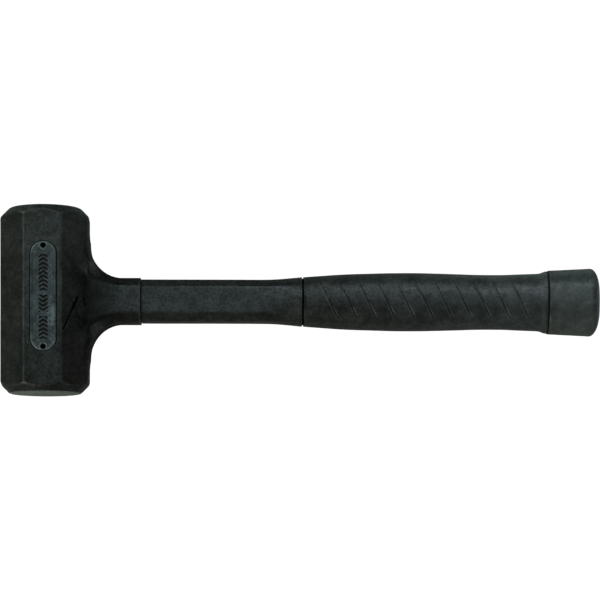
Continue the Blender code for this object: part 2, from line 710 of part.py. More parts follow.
def build_shot():
    """Lanes of balls along Y, each lane hung on an empty at its first ball."""
    mesh = shot_ball_mesh()
    lanes = [(0.0, 0.0)]
    for i in range(SHOT_LANES - 1):
        angle = math.radians(360.0 / (SHOT_LANES - 1) * i + SHOT_RING_START)
        lanes.append((SHOT_RING_RADIUS * math.cos(angle),
                      SHOT_RING_RADIUS * math.sin(angle)))
    first_y = -CANISTER_HALF_INNER + GAP + SHOT_RADIUS
    for lane, (x, z) in enumerate(lanes, start=1):
        lane_axis = bpy.data.objects.new("lane_axis_%d" % lane, None)
        lane_axis.empty_display_size = LANE_AXIS_SIZE
        lane_axis.location = (x, first_y, AXIS_Z + z)
        PARTS.objects.link(lane_axis)
        for i in range(SHOT_PER_LANE):
            ball = bpy.data.objects.new("shot_%d_%d" % (lane, i + 1), mesh)
            ball.parent = lane_axis
            ball.location = (0.0, i * SHOT_PITCH, 0.0)
            PARTS.objects.link(ball)


# ---------------------------------------------------------------- build
head_jacket = build_head_jacket()
build_label_plate(head_jacket)
build_canister()
build_core()
build_shaft_cover()
build_grip()
build_butt_cap()
build_shot()
bpy.context.view_layer.update()
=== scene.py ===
"""Looks of the dead blow mallet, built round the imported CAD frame.

Lengths inside the shape functions are millimetres; objects are in metres.
The visible urethane and the plate are dense meshes whose points are pulled
onto exact distance functions, so every rounding, seam, groove and dent is
geometry. The steel inside keeps its CAD shape, or gets a finer one.
"""
import json
import math
import bmesh
import bpy
import numpy as np
from mathutils import Matrix, Vector

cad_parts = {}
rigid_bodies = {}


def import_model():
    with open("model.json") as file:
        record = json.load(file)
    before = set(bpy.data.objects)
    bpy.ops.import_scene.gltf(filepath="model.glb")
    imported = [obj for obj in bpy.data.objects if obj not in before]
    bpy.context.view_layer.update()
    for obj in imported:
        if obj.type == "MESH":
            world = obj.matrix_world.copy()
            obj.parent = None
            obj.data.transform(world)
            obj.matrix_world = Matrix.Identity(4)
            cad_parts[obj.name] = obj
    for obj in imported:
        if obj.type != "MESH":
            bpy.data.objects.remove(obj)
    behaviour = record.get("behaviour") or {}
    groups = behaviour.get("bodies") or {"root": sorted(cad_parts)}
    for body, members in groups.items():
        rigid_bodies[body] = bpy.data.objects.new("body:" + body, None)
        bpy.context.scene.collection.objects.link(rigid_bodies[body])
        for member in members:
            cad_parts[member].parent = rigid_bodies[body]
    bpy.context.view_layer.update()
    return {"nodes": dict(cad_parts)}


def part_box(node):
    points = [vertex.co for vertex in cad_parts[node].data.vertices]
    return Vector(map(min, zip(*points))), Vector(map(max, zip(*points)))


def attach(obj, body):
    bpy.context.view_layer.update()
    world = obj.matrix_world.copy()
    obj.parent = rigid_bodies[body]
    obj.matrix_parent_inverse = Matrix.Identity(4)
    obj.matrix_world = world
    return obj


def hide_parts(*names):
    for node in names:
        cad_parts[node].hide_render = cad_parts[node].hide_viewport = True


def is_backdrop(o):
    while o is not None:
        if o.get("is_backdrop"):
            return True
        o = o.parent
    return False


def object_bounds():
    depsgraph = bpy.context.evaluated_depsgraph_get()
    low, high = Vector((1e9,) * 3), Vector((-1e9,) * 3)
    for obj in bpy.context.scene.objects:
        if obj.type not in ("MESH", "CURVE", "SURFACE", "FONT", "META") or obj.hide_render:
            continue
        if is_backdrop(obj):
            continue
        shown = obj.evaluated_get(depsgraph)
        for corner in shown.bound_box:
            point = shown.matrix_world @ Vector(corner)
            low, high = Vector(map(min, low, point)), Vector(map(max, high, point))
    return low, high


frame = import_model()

MM = 0.001
NODES = frame["nodes"]

# the handle and head axes cross at this height
AXIS = 20.5


# ------------------------------------------------------------------ numbers
def smax(a, b, k):
    h = np.clip(0.5 + 0.5 * (a - b) / k, 0.0, 1.0)
    return b * (1.0 - h) + a * h + k * h * (1.0 - h)


def smin(a, b, k):
    return -smax(-a, -b, k)


def smooth(e0, e1, x):
    t = np.clip((x - e0) / (e1 - e0), 0.0, 1.0)
    return t * t * (3.0 - 2.0 * t)


def _hash(ix, iy, iz, seed):
    h = (ix.astype(np.int64) * 73856093) ^ (iy.astype(np.int64) * 19349663) \
        ^ (iz.astype(np.int64) * 83492791) ^ (seed * 2654435761)
    h = (h ^ (h >> 13)) & 0xFFFFFFFF
    h = (h * 1274126177) & 0xFFFFFFFF
    h = (h ^ (h >> 16)) & 0xFFFFFFFF
    return h.astype(np.float64) / 4294967295.0


def value_noise(P, scale, seed):
    """Smooth noise in -1..1; scale is the size of a cell in mm."""
    q = P / scale
    f = np.floor(q)
    t = q - f
    t = t * t * t * (t * (t * 6.0 - 15.0) + 10.0)
    i = f.astype(np.int64)
    out = 0.0
    for dx in (0, 1):
        wx = t[:, 0] if dx else 1.0 - t[:, 0]
        for dy in (0, 1):
            wy = t[:, 1] if dy else 1.0 - t[:, 1]
            for dz in (0, 1):
                wz = t[:, 2] if dz else 1.0 - t[:, 2]
                out = out + wx * wy * wz * _hash(
                    i[:, 0] + dx, i[:, 1] + dy, i[:, 2] + dz, seed)
    return out * 2.0 - 1.0


def fbm(P, scale, seed, octaves=3):
    total, amp, out = 0.0, 1.0, 0.0
    for o in range(octaves):
        out = out + amp * value_noise(P + 17.3 * o, scale / 2 ** o, seed + o)
        total += amp
        amp *= 0.5
    return out / total


def dents(P, scale, seed, density, radius):
    """Shallow round dents scattered in cells: 0 outside, 1 in a dent."""
    q = P / scale
    f = np.floor(q).astype(np.int64)
    out = np.zeros(len(P))
    for dx in (-1, 0, 1):
        for dy in (-1, 0, 1):
            for dz in (-1, 0, 1):
                c = f + np.array([dx, dy, dz])
                keep = _hash(c[:, 0], c[:, 1], c[:, 2], seed) < density
                px = _hash(c[:, 0], c[:, 1], c[:, 2], seed + 11)
                py = _hash(c[:, 0], c[:, 1], c[:, 2], seed + 23)
                pz = _hash(c[:, 0], c[:, 1], c[:, 2], seed + 37)
                rr = radius * (0.45 + 0.55 * _hash(c[:, 0], c[:, 1], c[:, 2],
                                                   seed + 51))
                d = np.sqrt((q[:, 0] - c[:, 0] - px) ** 2
                            + (q[:, 1] - c[:, 1] - py) ** 2
                            + (q[:, 2] - c[:, 2] - pz) ** 2) * scale
                out = np.maximum(out, np.where(keep, np.clip(1.0 - (d / rr) ** 2,
                                                             0.0, 1.0), 0.0))
    return out


def scratch(P, a, b, width, depth, normal_fade=1.2):
    """A straight score from a to b, tapering to both ends."""
    a, b = np.array(a, float), np.array(b, float)
    ab = b - a
    t = np.clip(((P - a) @ ab) / (ab @ ab), 0.0, 1.0)
    d = np.linalg.norm(P - a - t[:, None] * ab, axis=1)
    w = width * (0.35 + 0.65 * np.sin(np.pi * np.clip(t, 0.02, 0.98)))
    return depth * np.clip(1.0 - (d / w) ** 2, 0.0, 1.0) ** 1.5


# ------------------------------------------------------------------ meshes
def mesh_from(name, verts_mm, faces, smooth_shade=True):
    mesh = bpy.data.meshes.new(name)
    verts = np.asarray(verts_mm, float) * MM
    faces = np.asarray(faces, np.int32)
    n, m = len(faces), faces.shape[1]
    mesh.vertices.add(len(verts))
    mesh.vertices.foreach_set("co", verts.astype(np.float32).ravel())
    mesh.loops.add(n * m)
    mesh.loops.foreach_set("vertex_index", faces.ravel())
    mesh.polygons.add(n)
    mesh.polygons.foreach_set("loop_start", np.arange(0, n * m, m,
                                                      dtype=np.int32))
    mesh.polygons.foreach_set("loop_total", np.full(n, m, np.int32))
    mesh.update(calc_edges=True)
    mesh.validate()
    if smooth_shade:
        mesh.shade_smooth()
    obj = bpy.data.objects.new(name, mesh)
    bpy.context.scene.collection.objects.link(obj)
    return obj


def read_points(mesh):
    co = np.empty(len(mesh.vertices) * 3, np.float32)
    mesh.vertices.foreach_get("co", co)
    return co.reshape(-1, 3).astype(np.float64)


def write_points(mesh, P):
    mesh.vertices.foreach_set("co", P.astype(np.float32).ravel())
    mesh.update()


def remeshed_copy(name, node, voxel_mm):
    """A copy of a CAD node with an even skin of small quads."""
    source = NODES[node]
    mesh = bpy.data.meshes.new_from_object(
        source.evaluated_get(bpy.context.evaluated_depsgraph_get()))
    mesh.transform(source.matrix_world)
    mesh.name = name
    obj = bpy.data.objects.new(name, mesh)
    bpy.context.scene.collection.objects.link(obj)
    mod = obj.modifiers.new("skin", "REMESH")
    mod.mode = "VOXEL"
    mod.voxel_size = voxel_mm * MM
    mod.adaptivity = 0.0
    bpy.context.view_layer.update()
    done = bpy.data.meshes.new_from_object(
        obj.evaluated_get(bpy.context.evaluated_depsgraph_get()))
    obj.modifiers.clear()
    obj.data = done
    done.name = name
    done.materials.clear()
    done.shade_smooth()
    return obj


def gradient(sdf, P, h=0.02):
    g = np.empty_like(P)
    for i in range(3):
        e = np.zeros(3)
        e[i] = h
        g[:, i] = (sdf(P + e) - sdf(P - e)) / (2.0 * h)
    return g


def pull_onto(obj, sdf, steps=5, limit=0.35, relax=2):
    """Moves every point of the mesh onto the zero of sdf (mm)."""
    mesh = obj.data
    P = read_points(mesh) / MM
    edges = np.empty(len(mesh.edges) * 2, np.int32)
    mesh.edges.foreach_get("vertices", edges)
    edges = edges.reshape(-1, 2)
    count = np.zeros(len(P))
    np.add.at(count, edges[:, 0], 1)
    np.add.at(count, edges[:, 1], 1)
    for s in range(steps):
        d = sdf(P)
        g = gradient(sdf, P)
        g2 = np.maximum((g ** 2).sum(1), 0.05)
        step = -(d / g2)[:, None] * g
        size = np.linalg.norm(step, axis=1)
        step *= np.minimum(1.0, limit / np.maximum(size, 1e-9))[:, None]
        P = P + step
        if s < relax:       # even the spacing, sliding along the surface
            mean = np.zeros_like(P)
            np.add.at(mean, edges[:, 0], P[edges[:, 1]])
            np.add.at(mean, edges[:, 1], P[edges[:, 0]])
            mean /= np.maximum(count, 1)[:, None]
            n = g / np.sqrt(g2)[:, None]
            move = mean - P
            move -= (move * n).sum(1)[:, None] * n
            P = P + 0.5 * move
    write_points(mesh, P * MM)
    return obj


def displace(obj, amount, sdf=None):
    """Moves points outward along their normals by amount(P, N) mm."""
    mesh = obj.data
    P = read_points(mesh) / MM
    if sdf is None:
        N = np.empty(len(P) * 3, np.float32)
        mesh.vertex_normals.foreach_get("vector", N)
        N = N.reshape(-1, 3).astype(float)
    else:
        N = gradient(sdf, P)
        N /= np.maximum(np.linalg.norm(N, axis=1), 1e-6)[:, None]
    P = P + N * amount(P, N)[:, None]
    write_points(mesh, P * MM)


def ring_body(name, rings):
    """Closed tubular solid from a closed row of rings of equal size."""
    rings = np.asarray(rings, float)
    m, n = rings.shape[0], rings.shape[1]
    a = np.arange(m)[:, None] * n + np.arange(n)[None, :]
    b = np.roll(a, -1, axis=1)
    c = np.roll(b, -1, axis=0)
    d = np.roll(a, -1, axis=0)
    faces = np.stack([a, d, c, b], -1).reshape(-1, 4)
    obj = mesh_from(name, rings.reshape(-1, 3), faces)
    bm = bmesh.new()
    bm.from_mesh(obj.data)
    if bm.calc_volume(signed=True) < 0:
        bmesh.ops.reverse_faces(bm, faces=bm.faces)
        bm.to_mesh(obj.data)
    bm.free()
    return obj


def auto_sharp(obj, degrees):
    obj.data.shade_smooth()
    obj.data.set_sharp_from_angle(angle=math.radians(degrees))


# ------------------------------------------------------------------ sections
def polar_octagon(t, hy, hz, cy, cz, power):
    """Radius in direction t of an octagon with eased edges."""
    ay, az = np.abs(np.cos(t)), np.abs(np.sin(t))
    size = math.hypot(cy, cz)
    diag = (cz * hy + cy * (hz - cz)) / size
    s = (ay / hy) ** power + (az / hz) ** power \
        + ((cz * ay + cy * az) / size / diag) ** power
    return s ** (-1.0 / power)


def polar_oval(t, hy, hz, power):
    cy, cz = np.abs(np.cos(t)), np.abs(np.sin(t))
    return ((cy / hy) ** power + (cz / hz) ** power) ** (-1.0 / power)


def shaft_radius(x, t):
    """The shaft is an octagon that turns into the grip's oval."""
    f = min(max((x - 104.0) / (130.5 - 104.0), 0.0), 1.0)
    ease = f * f * (1.6 - 0.6 * f)
    hy = 10.68 + (12.55 - 10.68) * ease
    hz = 9.5 + (11.2 - 9.5) * ease
    eight = polar_octagon(t, hy, hz, 3.85, 3.7, 60.0)
    oval = polar_oval(t, hy, hz, 2.35)
    mix = f * f * (3.0 - 2.0 * f)
    return eight * (1.0 - mix) + oval * mix


# ------------------------------------------------------------------ head
HEAD_HALF_Y = 47.05
PLATE_TOP = 41.35
PLATE_BOTTOM = PLATE_TOP - 1.2
PLATE_X, PLATE_Y = 0.5, 0.6
PLATE_HALF, PLATE_RADIUS = 27.4, 6.55
PIN_Y = 25.3


def oblique_plane(x, z):
    return 0.69861 * x + 0.71551 * z - 21.3046


def octagon(ax, az, k):
    return smax(smax(ax - 22.2, oblique_plane(ax, az), k), az - 20.5, k)


def pill(x, y, half_len, radius):
    yy = np.maximum(np.abs(y) - (half_len - radius), 0.0)
    return np.sqrt(x * x + yy * yy) - radius


def neck_field(x, ay, az):
    # outline along the strike axis: a quarter ellipse down to the collar
    run, rise = 17.0, 19.1
    dx, dy = 39.2 - x, 30.3 - ay
    f = np.sqrt((dx / run) ** 2 + (dy / rise) ** 2) + 1e-6
    slope = np.sqrt((dx / run ** 2) ** 2 + (dy / rise ** 2) ** 2) + 1e-6
    d2 = (1.0 - f) * f / slope
    d2 = np.where(dx <= 0.0, ay - 11.2, d2) - 0.25
    d2 = np.where((dy < 0.0) & (dx > 0.0), x - 22.2 + 0.35 * (ay - 30.3), d2)
    # outline across the depth: a softer arc onto the oblique facet
    dist = np.sqrt((x - 29.82) ** 2 + (az - 37.0) ** 2)
    dz = np.where(x >= 29.82, az - 11.0, 26.0 - dist)
    # past the arc's tangent point the field dives under the facet
    beyond = -(x - 29.82) * 0.71551 + (az - 37.0) * 0.69861
    dz = np.where((x < 29.82) & (beyond > 0),
                  oblique_plane(x, az) + 0.4 * beyond, dz)
    spread = 1.0 - np.sqrt(np.clip(1.0 - (np.clip(dx, 0.0, run) / run) ** 2,
                                   0.0, 1.0))
    cy, cz = 4.2 * (1.0 + 0.9 * spread), 4.5
    cham = (cz * d2 + cy * dz + cy * cz) / np.sqrt(cy * cy + cz * cz)
    d = smax(smax(d2, cham, 1.0), dz, 1.0)
    d = smax(d, x - 48.65, 0.25)
    d = smax(d, 9.0 - x, 1.0)
    return smax(d, ay - 36.0, 1.0), d2 - dz


def head_outer(P):
    x, y, z = P[:, 0], P[:, 1], P[:, 2] - AXIS
    ax, ay, az = np.abs(x), np.abs(y), np.abs(z)
    body = octagon(ax, az, 0.85)
    r = np.sqrt(x * x + z * z)
    cone = (1.03 * (r - 18.0) + (ay - HEAD_HALF_Y)) / 1.43558
    body = smax(body, cone, 0.75)
    body = smax(body, ay - HEAD_HALF_Y, 0.95)
    # the front of the neck runs tangent into the facet, so it needs little
    # rounding there; the outline meets the side of the head at a corner
    neck, side = neck_field(x, ay, az)
    return smin(body, neck, 0.4 + 1.4 * smooth(-1.0, 2.0, side))


def head_inner(P):
    """Everything that is cut out of the head jacket."""
    x, y, z = P[:, 0], P[:, 1], P[:, 2] - AXIS
    ay = np.abs(y)
    r = np.sqrt(x * x + z * z)
    cavity = np.maximum(r - 17.3, ay - 38.6)
    rx = np.sqrt(y * y + z * z)
    socket = np.maximum(np.maximum(rx - 7.8, x - 34.3), 10.0 - x)
    bore = np.maximum(rx - 5.3, 30.0 - x)
    px, py = x - PLATE_X, y - PLATE_Y
    plate = np.maximum(pill(px - 0.10, py + 0.04, PLATE_HALF + 0.27,
                            PLATE_RADIUS + 0.27),
                       (PLATE_BOTTOM - 0.3 - AXIS) - z)
    seat = np.maximum(np.sqrt(px * px + (np.abs(py) - PIN_Y) ** 2) - 1.4,
                      (PLATE_TOP - 1.0 - 1.9 - 0.3 - AXIS) - z)
    seat = np.maximum(seat, z - (PLATE_TOP + 3.0 - AXIS))
    # rebate for the tongue on the end of the shaft cover
    t = np.arctan2(z, y)
    lap = np.maximum(rx - (shaft_radius(49.0, t) - 0.7), 47.0 - x)
    d = np.minimum(np.minimum(cavity, lap), np.minimum(socket, bore))
    return np.minimum(d, np.minimum(plate, seat))


def head_sdf(P):
    return smax(head_outer(P), -head_inner(P), 0.22)


def outer_mask(P, outer, inner, near=0.5):
    """1 on the outside skin, 0 on anything that faces another piece."""
    return smooth(0.15, 0.9, inner(P)) * (np.abs(outer(P)) < near)


HEAD_VOXEL = 0.46
head = remeshed_copy("head_jacket_skin", "head_jacket", HEAD_VOXEL)
pull_onto(head, head_sdf, steps=6)


def head_detail(P, N):
    x, y, z = P[:, 0], P[:, 1], P[:, 2] - AXIS
    mask = outer_mask(P, head_outer, head_inner)
    mask *= smooth(48.5, 47.9, x)
    out = 0.05 * fbm(P, 14.0, 3, 3)                   # sink and handling
    out += 0.018 * fbm(P, 3.0, 9, 2)
    out -= 0.10 * dents(P, 9.0, 5, 0.10, 1.5)
    # knocks gather along the rim of each strike face
    r = np.sqrt(x * x + z * z)
    rim = np.exp(-((r - 18.6) / 1.5) ** 2) * smooth(43.0, 46.0, np.abs(y))
    out -= rim * (0.10 * np.clip(fbm(P, 2.6, 21, 2), 0.0, 1.0)
                  + 0.16 * dents(P, 4.0, 25, 0.25, 1.2))
    # struck faces: fine pitting and a few flat dents
    face = smooth(46.6, 47.1, np.abs(y))
    out -= face * 0.07 * dents(P, 3.2, 31, 0.30, 1.0)
    out -= face * 0.05 * np.clip(fbm(P, 6.0, 33, 2), 0.0, 1.0)
    # mould parting line round the flanks
    part = np.exp(-(z / 0.22) ** 2)
    out += 0.055 * part * smooth(12.0, 14.0, np.sqrt(x * x + y * y)) \
        * smooth(0.45, 0.8, np.abs(N[:, 0]) + np.abs(N[:, 1])) * (1.0 - face)
    return out * mask


displace(head, head_detail, head_sdf)


# score marks on the oblique facet beside the neck
def head_marks(P, N):
    mask = outer_mask(P, head_outer, head_inner)
    out = -scratch(P, (10.5, -15.8, 39.9), (17.1, 0.3, 33.6), 0.8, 0.42)
    out -= scratch(P, (20.1, 0.4, 32.2), (20.8, -3.4, 32.0), 0.55, 0.28)
    return out * mask


displace(head, head_marks, head_sdf)


# ------------------------------------------------------------------ handle
def angles(n, hy=1.0, hz=0.86):
    """Angles spaced evenly along an oval's edge rather than by turn."""
    t = np.linspace(0.0, 2.0 * math.pi, 4096)
    r = polar_oval(t, hy, hz, 2.3)
    pts = np.stack([r * np.cos(t), r * np.sin(t)], 1)
    s = np.concatenate([[0.0], np.cumsum(np.linalg.norm(np.diff(pts, axis=0),
                                                        axis=1))])
    return np.interp(np.arange(n) / n * s[-1], s, t)


def spline_value(points, x):
    """Monotone cubic through (station, value) pairs."""
    xs = np.array([p[0] for p in points], float)
    ys = np.array([p[1] for p in points], float)
    h = np.diff(xs)
    m = np.diff(ys) / h
    t = np.zeros(len(xs))
    t[1:-1] = np.where(m[:-1] * m[1:] > 0,
                       2.0 * m[:-1] * m[1:] / np.where(
                           m[:-1] + m[1:] == 0, 1.0, m[:-1] + m[1:]), 0.0)
    t[0], t[-1] = m[0], m[-1]
    i = np.clip(np.searchsorted(xs, x) - 1, 0, len(h) - 1)
    u = (x - xs[i]) / h[i]
    h00 = 2 * u ** 3 - 3 * u ** 2 + 1
    h10 = u ** 3 - 2 * u ** 2 + u
    h01 = -2 * u ** 3 + 3 * u ** 2
    h11 = u ** 3 - u ** 2
    return h00 * ys[i] + h10 * h[i] * t[i] + h01 * ys[i + 1] \
        + h11 * h[i] * t[i + 1]


def skin_rings(stations, radius_of, t):
    """Rings of the outer surface; radius_of(x, t) gives the radius."""
    rings = np.empty((len(stations), len(t), 3))
    for i, x in enumerate(stations):
        r = radius_of(x, t)
        rings[i, :, 0] = x
        rings[i, :, 1] = r * np.cos(t)
        rings[i, :, 2] = AXIS + r * np.sin(t)
    return rings


def eased_end(rings, at_start, radius, steps=4):
    """Rounds the sharp end of a row of rings; returns extra rings."""
    first, x0 = (rings[0], rings[0, 0, 0]) if at_start \
        else (rings[-1], rings[-1, 0, 0])
    sign = -1.0 if at_start else 1.0
    out = []
    for k in range(1, steps + 1):
        a = math.pi / 2 * k / steps
        ring = first.copy()
        c = np.array([0.0, AXIS])
        v = ring[:, 1:] - c
        d = np.linalg.norm(v, axis=1, keepdims=True)
        ring[:, 1:] = c + v * (d - radius * (1.0 - math.cos(a))) / d
        ring[:, 0] = x0 - sign * radius + sign * radius * math.sin(a)
        out.append(ring)
    return out


def face_to(ring, x, radius, t, steps=4):
    """Rings that close an end face inward to a round bore."""
    out = []
    for k in range(1, steps + 1):
        f = k / steps
        r0 = np.linalg.norm(ring[:, 1:] - [0.0, AXIS], axis=1)
        r = r0 * (1.0 - f) + radius * f
        q = np.empty_like(ring)
        q[:, 0] = x
        q[:, 1] = r * np.cos(t)
        q[:, 2] = AXIS + r * np.sin(t)
        out.append(q)
    return out


def bore_ring(x, radius, t):
    q = np.empty((len(t), 3))
    q[:, 0] = x
    q[:, 1] = radius * np.cos(t)
    q[:, 2] = AXIS + radius * np.sin(t)
    return q


def handle_piece(name, outer_rings, t, ease, bores):
    """Outer rings from start to end plus stepped bores back to the start.

    bores lists (x, radius) from the far end to the near end.
    """
    start, end = outer_rings[0, 0, 0], outer_rings[-1, 0, 0]
    inside = outer_rings[(outer_rings[:, 0, 0] >= start + ease[0] - 1e-6)
                         & (outer_rings[:, 0, 0] <= end - ease[1] + 1e-6)]
    first = inside[0].copy()
    last = inside[-1].copy()

    def arc(ring, x0, sign, radius, steps=5):
        rows = []
        for k in range(0, steps + 1):
            a = math.pi / 2 * k / steps
            v = ring[:, 1:] - [0.0, AXIS]
            d = np.linalg.norm(v, axis=1, keepdims=True)
            q = ring.copy()
            q[:, 1:] = [0.0, AXIS] + v * (
                d - radius * (1.0 - math.cos(a))) / d
            q[:, 0] = x0 - sign * radius * (1.0 - math.sin(a))
            rows.append(q)
        return rows

    rows = []
    head_rows = arc(first, start, -1.0, ease[0])
    rows += head_rows[::-1]
    rows += list(inside[1:-1])
    tail_rows = arc(last, end, 1.0, ease[1])
    rows += tail_rows
    rows += face_to(rows[-1], end, bores[0][1], t)
    for (xa, ra), (xb, rb) in zip(bores, bores[1:]):
        if abs(xb - xa) > 1e-6:
            count = max(2, int(abs(xb - xa) / 6.0))
            for k in range(1, count + 1):
                rows.append(bore_ring(xa + (xb - xa) * k / count, ra, t))
        if np.max(np.abs(rb - ra)) > 1e-6:
            rows.append(bore_ring(xb, rb, t))
    back = face_to(rows[0], start, bores[-1][1], t)
    rows += back[:-1][::-1] if abs(rows[-1][0, 0] - start) < 1e-6 \
        else back[::-1]
    return ring_body(name, rows)


# shaft; the seams between the handle's pieces are lapped, so none is open
SHAFT_START, SHAFT_END = 48.9, 130.3
AROUND = 176
T_HANDLE = angles(AROUND)


step = 0.55
stations = np.linspace(SHAFT_START, SHAFT_END,
                       int((SHAFT_END - SHAFT_START) / step))
shaft = handle_piece(
    "shaft_cover_skin", skin_rings(stations, shaft_radius, T_HANDLE),
    T_HANDLE, (0.18, 0.2),
    [(130.3, shaft_radius(130.5, T_HANDLE) - 0.8),
     (131.8, shaft_radius(130.5, T_HANDLE) - 0.8), (131.8, 8.9),
     (130.3, 8.9), (130.3, 5.3), (52.3, 5.3), (52.3, 8.3), (49.05, 8.3),
     (49.05, 5.3), (47.3, 5.3), (47.3, shaft_radius(49.0, T_HANDLE) - 0.95),
     (48.9, shaft_radius(49.0, T_HANDLE) - 0.95)])


def handle_skin(P):
    """Rough distance of a point outward of the handle's bores."""
    return np.sqrt(P[:, 1] ** 2 + (P[:, 2] - AXIS) ** 2)


def shaft_radius_at(P):
    t = np.arctan2(P[:, 2] - AXIS, P[:, 1])
    return np.where(P[:, 0] < 105.0, shaft_radius(49.0, t),
                    polar_oval(t, 10.0, 9.0, 2.35))


def shaft_detail(P, N):
    z = P[:, 2] - AXIS
    r = handle_skin(P)
    skin = shaft_radius_at(P) - 0.6
    mask = smooth(skin, skin + 0.4, r) * smooth(49.0, 50.0, P[:, 0]) \
        * smooth(130.4, 129.4, P[:, 0])
    out = 0.045 * fbm(P, 12.0, 43, 3) + 0.012 * fbm(P, 2.4, 47, 2)
    out -= 0.07 * dents(P, 8.0, 45, 0.08, 1.2)
    out += 0.05 * np.exp(-(z / 0.22) ** 2) * smooth(0.5, 0.8, np.abs(N[:, 1]))
    return out * mask


displace(shaft, shaft_detail)

# grip: oval with slanting finger grooves
GRIP_PROFILE = (
    (130.95, 12.5), (135.0, 12.82), (139.8, 13.16), (147.0, 13.68),
    (155.0, 14.1), (165.0, 14.38), (175.0, 14.65), (184.0, 14.75),
    (190.5, 14.7), (197.0, 14.55), (204.0, 14.38), (211.0, 14.17),
    (218.0, 13.93), (225.0, 13.85), (232.0, 13.9), (239.5, 14.18),
    (246.5, 14.45), (250.3, 14.6), (251.5, 14.8), (253.0, 15.35),
    (254.3, 15.75), (254.95, 15.6),
)
GROOVE_FIRST, GROOVE_PITCH, GROOVES = 143.7, 9.68, 11
GROOVE_SLANT = 0.50


def grip_radius(x, t):
    hy = spline_value(GRIP_PROFILE, np.array([x]))[0]
    flare = max(0.0, hy - 14.62) if x > 248.0 else 0.0
    return polar_oval(t, hy, (hy - 0.55 * flare) * 0.83, 2.3)


step = 0.33
stations = np.linspace(130.95, 254.95, int(124.0 / step))
AROUND_G = 208
T_GRIP = angles(AROUND_G)
grip = handle_piece(
    "grip_sleeve_skin", skin_rings(stations, grip_radius, T_GRIP), T_GRIP,
    (0.2, 0.4),
    [(254.95, grip_radius(254.4, T_GRIP) - 1.0),
     (256.1, grip_radius(254.4, T_GRIP) - 1.0), (256.1, 10.5),
     (254.95, 10.5), (254.95, 5.3), (134.2, 5.3), (134.2, 8.3),
     (132.1, 8.3), (132.1, shaft_radius(130.5, T_GRIP) - 0.5),
     (130.95, shaft_radius(130.5, T_GRIP) - 0.5)])


def groove_depth(P):
    """Depth of the finger grooves at each point, mm.

    A groove is a narrow cut with one steep side and one side that is
    laid back, a little S-shaped, and fades out at both ends.
    """
    x, y, z = P[:, 0], P[:, 1], P[:, 2] - AXIS
    side = np.sign(z)
    bend = 0.2 * np.sin(y * math.pi / 10.5)
    u = x + GROOVE_SLANT * y * side + bend * side
    k = np.clip(np.round((u - GROOVE_FIRST) / GROOVE_PITCH), 0, GROOVES - 1)
    d = (u - GROOVE_FIRST - k * GROOVE_PITCH) * 0.894
    reach = 1.0 - smooth(6.8, 10.4, np.abs(y + 0.1 * side))
    narrow = 0.5 + 0.5 * reach
    steep = np.clip(1.0 - (np.clip(d, 0.0, None) / (0.55 * narrow)) ** 2,
                    0.0, 1.0)
    laid = np.clip(1.0 + np.clip(d, None, 0.0) / (0.75 * narrow), 0.0, 1.0)
    shape = np.where(d > 0, steep, laid ** 1.2)
    worn = 0.75 + 0.35 * value_noise(P, 11.0, 91)
    return 0.28 * worn * shape * reach * smooth(2.0, 5.0, np.abs(z))


def grip_detail(P, N):
    z = P[:, 2] - AXIS
    r = handle_skin(P)
    t = np.arctan2(z, P[:, 1])
    mask = smooth(-1.0, -0.6, r - polar_oval(t, 12.9, 10.6, 2.35)) \
        * smooth(131.0, 131.8, P[:, 0]) * smooth(254.9, 254.1, P[:, 0])
    out = 0.05 * fbm(P, 13.0, 53, 3) + 0.012 * fbm(P, 2.2, 57, 2)
    out -= 0.06 * dents(P, 8.0, 55, 0.08, 1.2)
    out += 0.05 * np.exp(-(z / 0.22) ** 2) * smooth(0.5, 0.8, np.abs(N[:, 1]))
    out -= groove_depth(P)
    return out * mask


displace(grip, grip_detail)

# butt cap: flared, with a rounded flat end
BUTT_TURN, BUTT_RUN, BUTT_RISE = 276.8, 4.6, 9.5


def butt_half(x):
    """Half height of the butt; its end is a quarter of an ellipse."""
    if x < BUTT_TURN:
        f = (x - 255.8) / (BUTT_TURN - 255.8)
        return 16.1 + (17.13 - 16.1) * max(f, 0.0)
    u = min((x - BUTT_TURN) / BUTT_RUN, 1.0)
    return 17.13 - BUTT_RISE * (1.0 - math.sqrt(max(0.0, 1.0 - u * u)))


def butt_radius(x, t):
    hy = butt_half(x)
    return polar_oval(t, hy, hy * 0.86, 2.4)


flat = np.linspace(255.2, 276.8, 60)
arcs = 281.4 - 4.6 * (1.0 - np.sin(np.linspace(0.0, math.pi / 2, 25)))
stations = np.concatenate([flat, arcs[1:]])
outer = skin_rings(stations, butt_radius, T_GRIP)
rows = []
first = outer[0].copy()
for k in range(4, 0, -1):            # eased front edge
    a = math.pi / 2 * k / 4
    q = first.copy()
    v = q[:, 1:] - [0.0, AXIS]
    d = np.linalg.norm(v, axis=1, keepdims=True)
    q[:, 1:] = [0.0, AXIS] + v * (d - 0.5 * (1.0 - math.cos(a))) / d
    q[:, 0] = 255.2 + 0.5 * (1.0 - math.sin(a))
    rows.append(q)
rows += [r for r in outer if r[0, 0] > 255.75]
last_r = np.linalg.norm(rows[-1][:, 1:] - [0.0, AXIS], axis=1)
for f in np.linspace(0.92, 0.02, 14):
    q = rows[-1].copy()
    q[:, 0] = 281.4
    q[:, 1] = last_r * f * np.cos(T_GRIP)
    q[:, 2] = AXIS + last_r * f * np.sin(T_GRIP)
    rows.append(q)
lap = grip_radius(254.4, T_GRIP) - 0.7
inner = [bore_ring(265.2, r, T_GRIP) for r in (0.2, 3.0, 6.5, 10.0)]
inner += [bore_ring(x, 10.0, T_GRIP) for x in (262.0, 258.5, 256.4)]
inner += [bore_ring(x, lap, T_GRIP) for x in (256.4, 255.2)]
